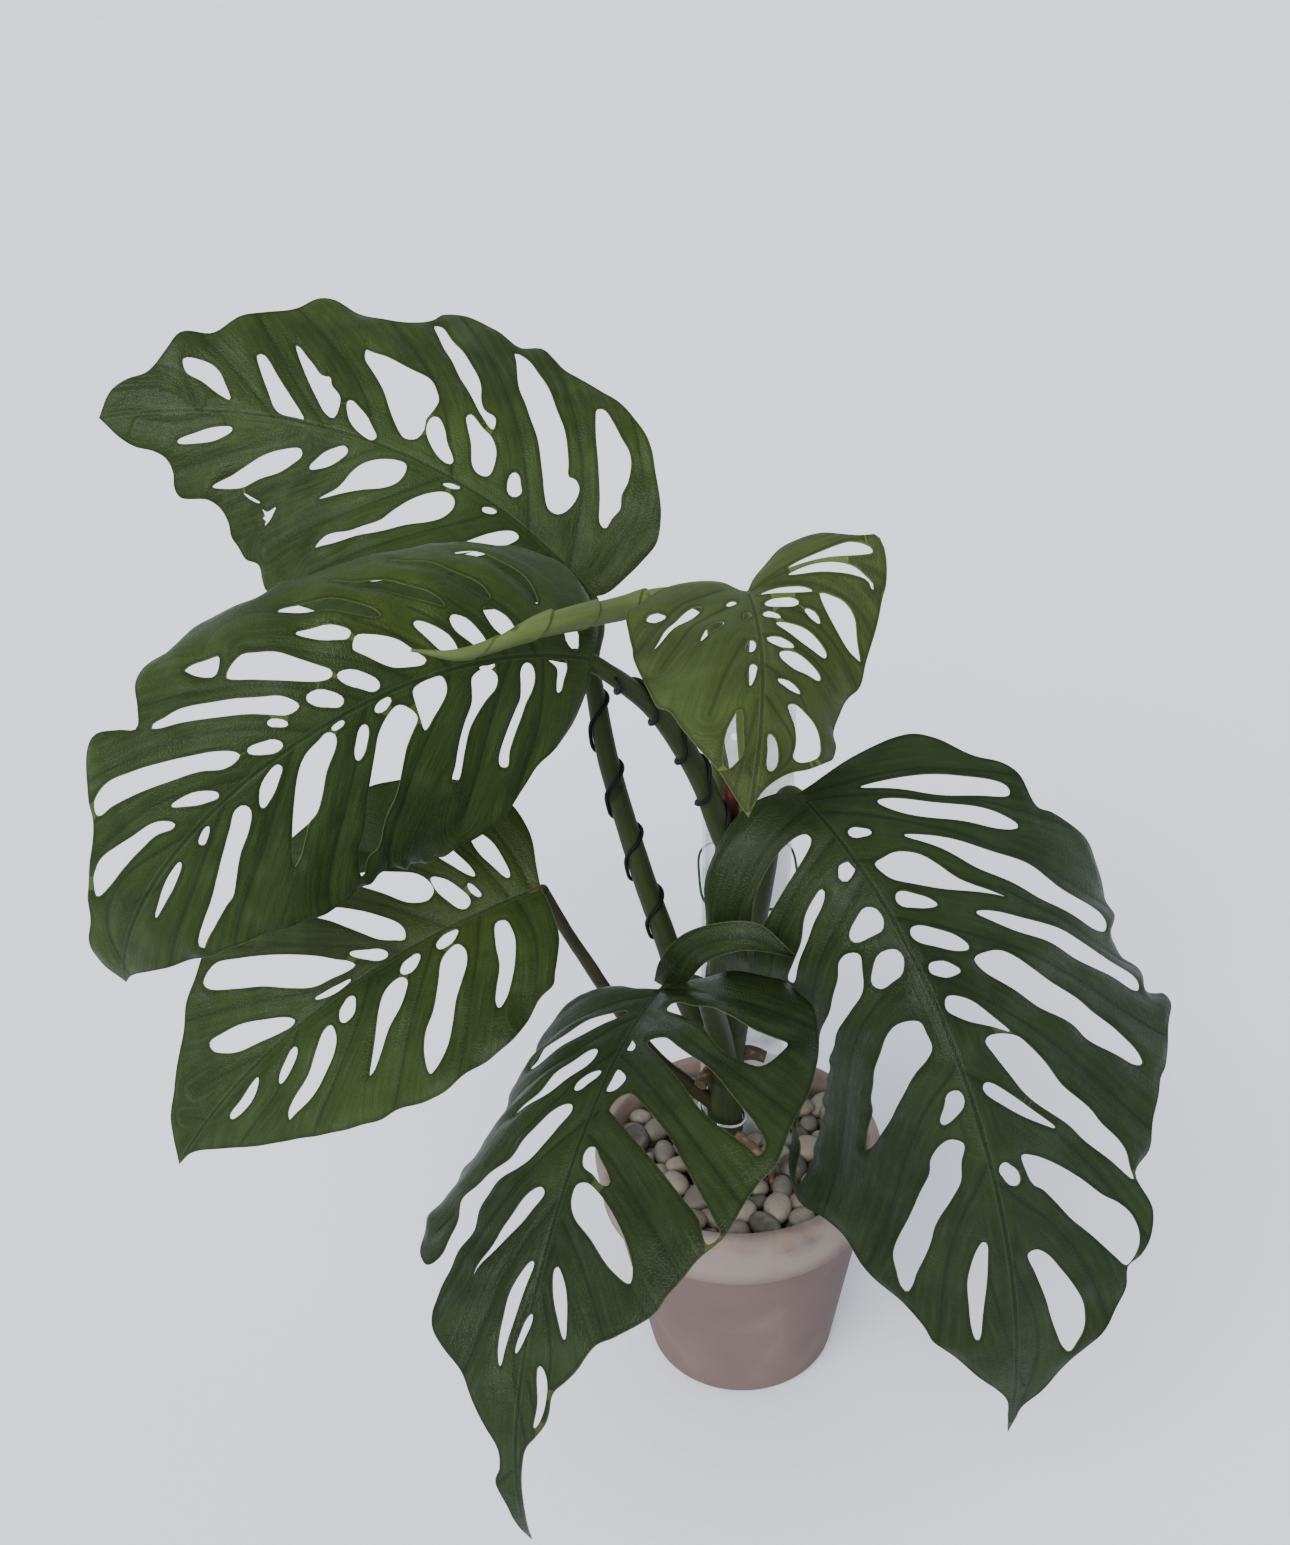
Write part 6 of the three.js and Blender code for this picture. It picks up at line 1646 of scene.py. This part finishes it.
def build_winding_tree(name):
    """A wire wound round the modifier's own line, from one share of its length to another."""
    tree, start, end = group_tree(name, "GeometryNodeTree", [
        ("Geometry", "Geometry", None), ("From", "Float", 0.1), ("To", "Float", 0.7),
        ("Turns", "Float", 6.0), ("Phase", "Float", 0.0), ("Slack", "Float", 0.0001),
        ("Wire", "Float", 0.0009), ("Material", "Material", None)], [("Geometry", "Geometry")])
    give = start.outputs
    path = add_node(tree, "GeometryNodeMeshToCurve", {0: give["Geometry"]}).outputs[0]
    steps = 600
    wire = add_node(tree, "GeometryNodeMeshLine", {"Count": steps}).outputs[0]
    index = add_node(tree, "GeometryNodeInputIndex").outputs[0]
    share = maths(tree, "DIVIDE", index, steps - 1.0)
    span = maths(tree, "SUBTRACT", give["To"], give["From"])
    reach = plus(tree, give["From"], times(tree, share, span))
    sample = add_node(tree, "GeometryNodeSampleCurve", {
        "Curves": path, "Value": named(tree, "thick"), "Factor": reach}, mode="FACTOR")
    even = times(tree, share, times(tree, give["Turns"], 2 * math.pi))
    wander = times(tree, maths(tree, "SINE", plus(tree, even, give["Phase"])), 0.75)
    angle = plus(tree, even, wander)
    side = sample.outputs["Normal"]
    other = vector_maths(tree, "CROSS_PRODUCT", sample.outputs["Tangent"], side)
    ripple = maths(tree, "SINE", times(tree, share, 37.0))
    loose = times(tree, plus(tree, ripple, 1.0), give["Slack"])
    radius = plus(tree, plus(tree, sample.outputs["Value"], give["Wire"]), loose)
    out = vector_maths(tree, "ADD", scaled(tree, side, maths(tree, "COSINE", angle)),
                       scaled(tree, other, maths(tree, "SINE", angle)))
    spot = vector_maths(tree, "ADD", sample.outputs["Position"], scaled(tree, out, radius))
    wire = add_node(tree, "GeometryNodeSetPosition", {0: wire, "Position": spot}).outputs[0]
    wire = add_node(tree, "GeometryNodeMeshToCurve", {0: wire}).outputs[0]
    circle = add_node(tree, "GeometryNodeCurvePrimitiveCircle", {
        "Resolution": 10, "Radius": give["Wire"]}).outputs[0]
    skin = add_node(tree, "GeometryNodeCurveToMesh", {
        "Curve": wire, "Profile Curve": circle, "Fill Caps": True}).outputs[0]
    close_tree(tree, skin, give["Material"], end)
    return tree


def stalk_line(leaf):
    """A stalk's middle line and its radii, from the leaf down."""
    line = smooth_line([leaf["base"], *leaf["stalk"]], 2.0)
    return line, read_along(leaf["stalkRadius"], len(line))


def hoop_line(hoop):
    """A hoop's points, tilted about X and then about Y. A power of 2 gives an ellipse."""
    turn = (Matrix.Rotation(math.radians(hoop["slope"]), 3, "Y")
            @ Matrix.Rotation(math.radians(hoop["tilt"]), 3, "X"))
    power = hoop["power"]
    line = []
    for i in range(HOOP_POINTS):
        angle = 2 * math.pi * i / HOOP_POINTS
        x, y = math.cos(angle), math.sin(angle)
        reach = (abs(x) ** power + abs(y) ** power) ** (-1 / power)
        spot = turn @ Vector((hoop["across"] * x * reach, hoop["deep"] * y * reach, 0))
        line.append(tuple(spot + Vector(hoop["middle"])))
    return line


def make_wires(settings):
    """The dark wire wound round two stalks, the green tie and the ring."""
    dark = wire_material("dark_wire", shade(0x08090b), 0.45, 0)
    for leaf_name, node, start, stop, turns in WINDINGS:
        leaf = next(row for row in LEAVES if row["name"] == leaf_name)
        line, radii = stalk_line(leaf)
        source = line_mesh(node, line, radii)
        piece = grown("wound_" + node, source, "Wound wire", build_winding_tree, dark,
                      From=start, To=stop, Turns=turns, Phase=math.pi, Wire=settings.wire)
        finish_piece(piece, "dark_wire", node)
    tie = wire_material("tie_wire", shade(0x23402f), 0.35, 0)
    steel = wire_material("steel_ring", shade(0x9a9ea3), 0.1, 1, 0.5)
    for name, node, slot_name, hoop, material in (
            ("tie", "tie_wire", "green_wire", TIE_HOOP, tie),
            ("ring", "clip_ring", "ring", RING_HOOP, steel)):
        piece = make_rod(name, hoop_line(hoop), [hoop["wire"], hoop["wire"]], material,
                         closed=True, Sides=12)
        finish_piece(piece, slot_name, node)


def make_stem(settings):
    """The old stem, its two cut stubs, the roots and the dried sheath on top."""
    bark = bark_material("bark", tuple(settings.bark), shade(0x6b6048))
    root = bark_material("root", tuple(settings.root), shade(0x77624a))
    green = stalk_material("old_sheath", shade(0x1b2412), shade(0x343d22))
    dry = bark_material("dry_sheath", shade(0x561d10), shade(0x77442a))
    trunk = make_rod("stem_trunk", STEM_PATH, STEM_RADII, green, Sides=40, Unevenness=0.004,
                     Unevenness_scale=45.0, Seam=0.12, Seam_turns=1.5)
    finish_piece(trunk, "stem", "stem")
    for i, (path, radii) in enumerate(STUBS):
        stub = make_rod(f"stub_{i + 1}", path, radii, bark, 1.0, Sides=20, Unevenness=0.0012,
                        Unevenness_scale=120.0)
        finish_piece(stub, "stem", "stem")
    for i, path in enumerate(ROOTS):
        strand = make_rod(f"root_{i + 1}", path, ROOT_RADII, root, 1.5, Sides=14,
                          Unevenness=0.0014, Unevenness_scale=150.0)
        finish_piece(strand, "stem", "stem")
    sheath = make_rod("dried_scale", SHEATH_PATH, SHEATH_RADII, dry, 1.0, Sides=24,
                      Unevenness=0.002, Unevenness_scale=130.0, Seam=0.3)
    finish_piece(sheath, "dry_sheath", "dried_sheath")


def make_lobe(material):
    """The front leaf's basal lobe, which turns up and to the right as a band of its own."""
    line = smooth_line(LOBE_PATH, LOBE_STEP)
    widths = read_along(LOBE_HALF_WIDTHS, len(line))
    facing = np.array(LOBE_FACING) / np.linalg.norm(LOBE_FACING)
    ahead = np.gradient(line, axis=0)
    side = np.cross(ahead, facing)
    side /= np.linalg.norm(side, axis=1)[:, None]
    count = 12
    rows = []
    for share in np.linspace(-1, 1, count + 1):
        dip = 1.4 * (abs(share) - 0.5)
        rows.append(line + side * (widths * share)[:, None] + facing * dip)
    rows = np.array(rows)
    upper, lower = rows + facing * LOBE_HALF_THICKNESS, rows - facing * LOBE_HALF_THICKNESS
    n = len(line)
    points = np.vstack([upper.reshape(-1, 3), lower.reshape(-1, 3)])
    half = (count + 1) * n
    faces = []
    for k in range(count):
        for i in range(n - 1):
            a = k * n + i
            faces.append((a, a + 1, a + n + 1, a + n))
            faces.append((half + a, half + a + n, half + a + n + 1, half + a + 1))
    ring = list(range(n)) + [k * n + n - 1 for k in range(1, count + 1)]
    ring += [count * n + i for i in range(n - 2, -1, -1)]
    ring += [k * n for k in range(count - 1, 0, -1)]
    for p, q in zip(ring, ring[1:] + ring[:1]):
        faces.append((q, p, half + p, half + q))
    near = np.abs(np.tile(np.repeat(np.linspace(-1, 1, count + 1), n), 2))
    reach = np.tile(np.tile(widths, count + 1), 2)
    place = np.arange(len(near)) % n
    layers = {"edge": (1 - near) * reach / FAR, "vein": near * reach / FAR, "rib": 1 + 0 * near,
              "along": place * LOBE_STEP / 100, "under": np.repeat([0.0, 1.0], half)}
    flat = np.column_stack([place * LOBE_STEP, near * reach])
    return finish_blade("lobe_front", points, faces, layers, flat, material)


def make_leaves(settings, stem):
    """The six open leaves with their stalks, and the rolled one."""
    old = leaf_material("leaf", tuple(settings.dark), 0.34)
    shaded = leaf_material("shaded_leaf", tuple(settings.shaded), 0.34, 0.14)
    young = leaf_material("young_leaf", tuple(settings.young), 0.42)
    stalk = stalk_material("stalk", tuple(stem.stalk), shade(0x313a1c))
    brown_stalk = stalk_material("brown_stalk", shade(0x1d190c), shade(0x3c381d))
    young_stalk = stalk_material("young_stalk", shade(0x3d4a22), shade(0x59683a))
    blade_skins = {"leaf_top": young, "leaf_front": shaded, "leaf_right": shaded}
    stalk_skins = {"leaf_top": young_stalk, "leaf_lower_left": brown_stalk}
    for leaf in LEAVES:
        name = leaf["name"]
        slot_name = "young_leaf" if name == "leaf_top" else "leaf"
        finish_piece(make_blade(leaf, settings, blade_skins.get(name, old)), slot_name, name)
        finish_piece(make_stalk(leaf, stalk_skins.get(name, stalk)), slot_name, name)
    finish_piece(make_lobe(shaded), "leaf", "leaf_front")
    # The rolled leaf has a strong painted shadow along its seam.
    rolled = stalk_material("rolled_leaf", tuple(settings.rolled), shade(0x566238), 0.9)
    wrapped = [0.94 * radius for radius in SPEAR_RADII]
    spear = make_rod("new_spear", SPEAR_PATH, wrapped, rolled, 0.7, Sides=72, Seam=0.26,
                     Seam_turns=10.0, Unevenness=0.0008, Unevenness_scale=60.0)
    finish_piece(spear, "new_leaf", "leaf_rolled")


def make_soil(settings):
    """Give the solid soil its finish."""
    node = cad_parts["soil"]
    node.data.materials.clear()
    node.data.materials.append(soil_material(settings))


def make_camera():
    """A camera that stands and looks as the photograph's did."""
    data = bpy.data.cameras.new("camera")
    camera = bpy.data.objects.new("camera", data)
    bpy.context.scene.collection.objects.link(camera)
    pitch, lean = math.radians(CAMERA_PITCH), math.radians(CAMERA_LEAN)
    forward = Vector((0, math.cos(pitch), -math.sin(pitch)))
    right = Vector((1, 0, 0))
    up = right.cross(forward)
    side = right * math.cos(lean) + up * math.sin(lean)
    above = up * math.cos(lean) - right * math.sin(lean)
    rows = [[side[i], above[i], -forward[i], CAMERA_PLACE[i]] for i in range(3)]
    camera.matrix_world = Matrix([*rows, [0, 0, 0, 1]])
    data.sensor_fit = "VERTICAL"
    data.sensor_height = FILM_HEIGHT
    data.lens = VIEW_DISTANCE / IMAGE_HEIGHT * FILM_HEIGHT
    data.clip_end = 100
    bpy.context.scene.camera = camera


def make_stage(settings):
    """The camera, a pale floor and a soft light."""
    make_camera()
    reach = 30.0
    corners = [(-reach, -reach, 0), (reach, -reach, 0), (reach, reach, 0), (-reach, reach, 0)]
    mesh = bpy.data.meshes.new("floor")
    mesh.from_pydata(corners, [], [(0, 1, 2, 3)])
    link_mesh("floor", mesh, floor_material(settings))
    world = bpy.data.worlds.new("sky")
    world.use_nodes = True
    back = world.node_tree.nodes["Background"]
    back.inputs["Color"].default_value = (*settings.sky, 1)
    back.inputs["Strength"].default_value = settings.sky_light
    bpy.context.scene.world = world
    data = bpy.data.lights.new("side_light", "SUN")
    data.energy = settings.side_light
    data.angle = settings.softness
    data.color = (1, 0.985, 0.96)
    light = bpy.data.objects.new("side_light", data)
    light.rotation_euler = Vector((0.5, 1.0, -0.85)).to_track_quat("-Z", "Y").to_euler()
    bpy.context.scene.collection.objects.link(light)


class MONSTERA_OT_stage(bpy.types.Operator):
    """Make the camera, the floor and the light"""

    bl_idname = "monstera.stage"
    bl_label = "Stage"

    def execute(self, context):
        make_stage(context.scene.monstera_stage)
        return {"FINISHED"}


class MONSTERA_OT_pot(bpy.types.Operator):
    """Make the clay pot"""

    bl_idname = "monstera.pot"
    bl_label = "Pot"

    def execute(self, context):
        make_pot(context.scene.monstera_pot)
        return {"FINISHED"}


class MONSTERA_OT_fill(bpy.types.Operator):
    """Make the soil's finish and the pebbles"""

    bl_idname = "monstera.fill"
    bl_label = "Soil and pebbles"

    def execute(self, context):
        make_soil(context.scene.monstera_fill)
        make_pebbles(context.scene.monstera_fill)
        return {"FINISHED"}


class MONSTERA_OT_stake(bpy.types.Operator):
    """Make the clear stake"""

    bl_idname = "monstera.stake"
    bl_label = "Stake"

    def execute(self, context):
        make_stake(context.scene.monstera_stem)
        return {"FINISHED"}


class MONSTERA_OT_stem(bpy.types.Operator):
    """Make the stem, the stubs, the roots and the dried sheath"""

    bl_idname = "monstera.stem"
    bl_label = "Stem and roots"

    def execute(self, context):
        make_stem(context.scene.monstera_stem)
        return {"FINISHED"}


class MONSTERA_OT_leaves(bpy.types.Operator):
    """Make the leaves and their stalks"""

    bl_idname = "monstera.leaves"
    bl_label = "Leaves"

    def execute(self, context):
        make_leaves(context.scene.monstera_leaf, context.scene.monstera_stem)
        return {"FINISHED"}


class MONSTERA_OT_wires(bpy.types.Operator):
    """Make the wires and the ring"""

    bl_idname = "monstera.wires"
    bl_label = "Wires and ring"

    def execute(self, context):
        make_wires(context.scene.monstera_stem)
        return {"FINISHED"}


GROUPS = {
    "monstera_stage": StageSettings,
    "monstera_pot": PotSettings,
    "monstera_fill": FillSettings,
    "monstera_stem": StemSettings,
    "monstera_leaf": LeafSettings,
}
OPERATORS = [
    MONSTERA_OT_stage, MONSTERA_OT_pot, MONSTERA_OT_fill, MONSTERA_OT_stake, MONSTERA_OT_stem,
    MONSTERA_OT_leaves, MONSTERA_OT_wires,
]


class MONSTERA_PT_panel(bpy.types.Panel):
    """The settings and the buttons, in the sidebar"""

    bl_label = "Potted monstera"
    bl_idname = "MONSTERA_PT_panel"
    bl_space_type = "VIEW_3D"
    bl_region_type = "UI"
    bl_category = "Monstera"

    def draw(self, context):
        for key, group in GROUPS.items():
            box = self.layout.box()
            box.label(text=group.__doc__)
            for name in group.__annotations__:
                box.prop(getattr(context.scene, key), name)
        for operator in OPERATORS:
            self.layout.operator(operator.bl_idname)


def register():
    for item in (*GROUPS.values(), *OPERATORS, MONSTERA_PT_panel):
        bpy.utils.register_class(item)
    for key, group in GROUPS.items():
        setattr(bpy.types.Scene, key, PointerProperty(type=group))


def unregister():
    for key in GROUPS:
        delattr(bpy.types.Scene, key)
    for item in reversed((*GROUPS.values(), *OPERATORS, MONSTERA_PT_panel)):
        bpy.utils.unregister_class(item)


def main():
    register()
    bpy.ops.monstera.stage()
    bpy.ops.monstera.pot()
    bpy.ops.monstera.fill()
    bpy.ops.monstera.stake()
    bpy.ops.monstera.stem()
    bpy.ops.monstera.leaves()
    bpy.ops.monstera.wires()


if __name__ == "__main__":
    main()
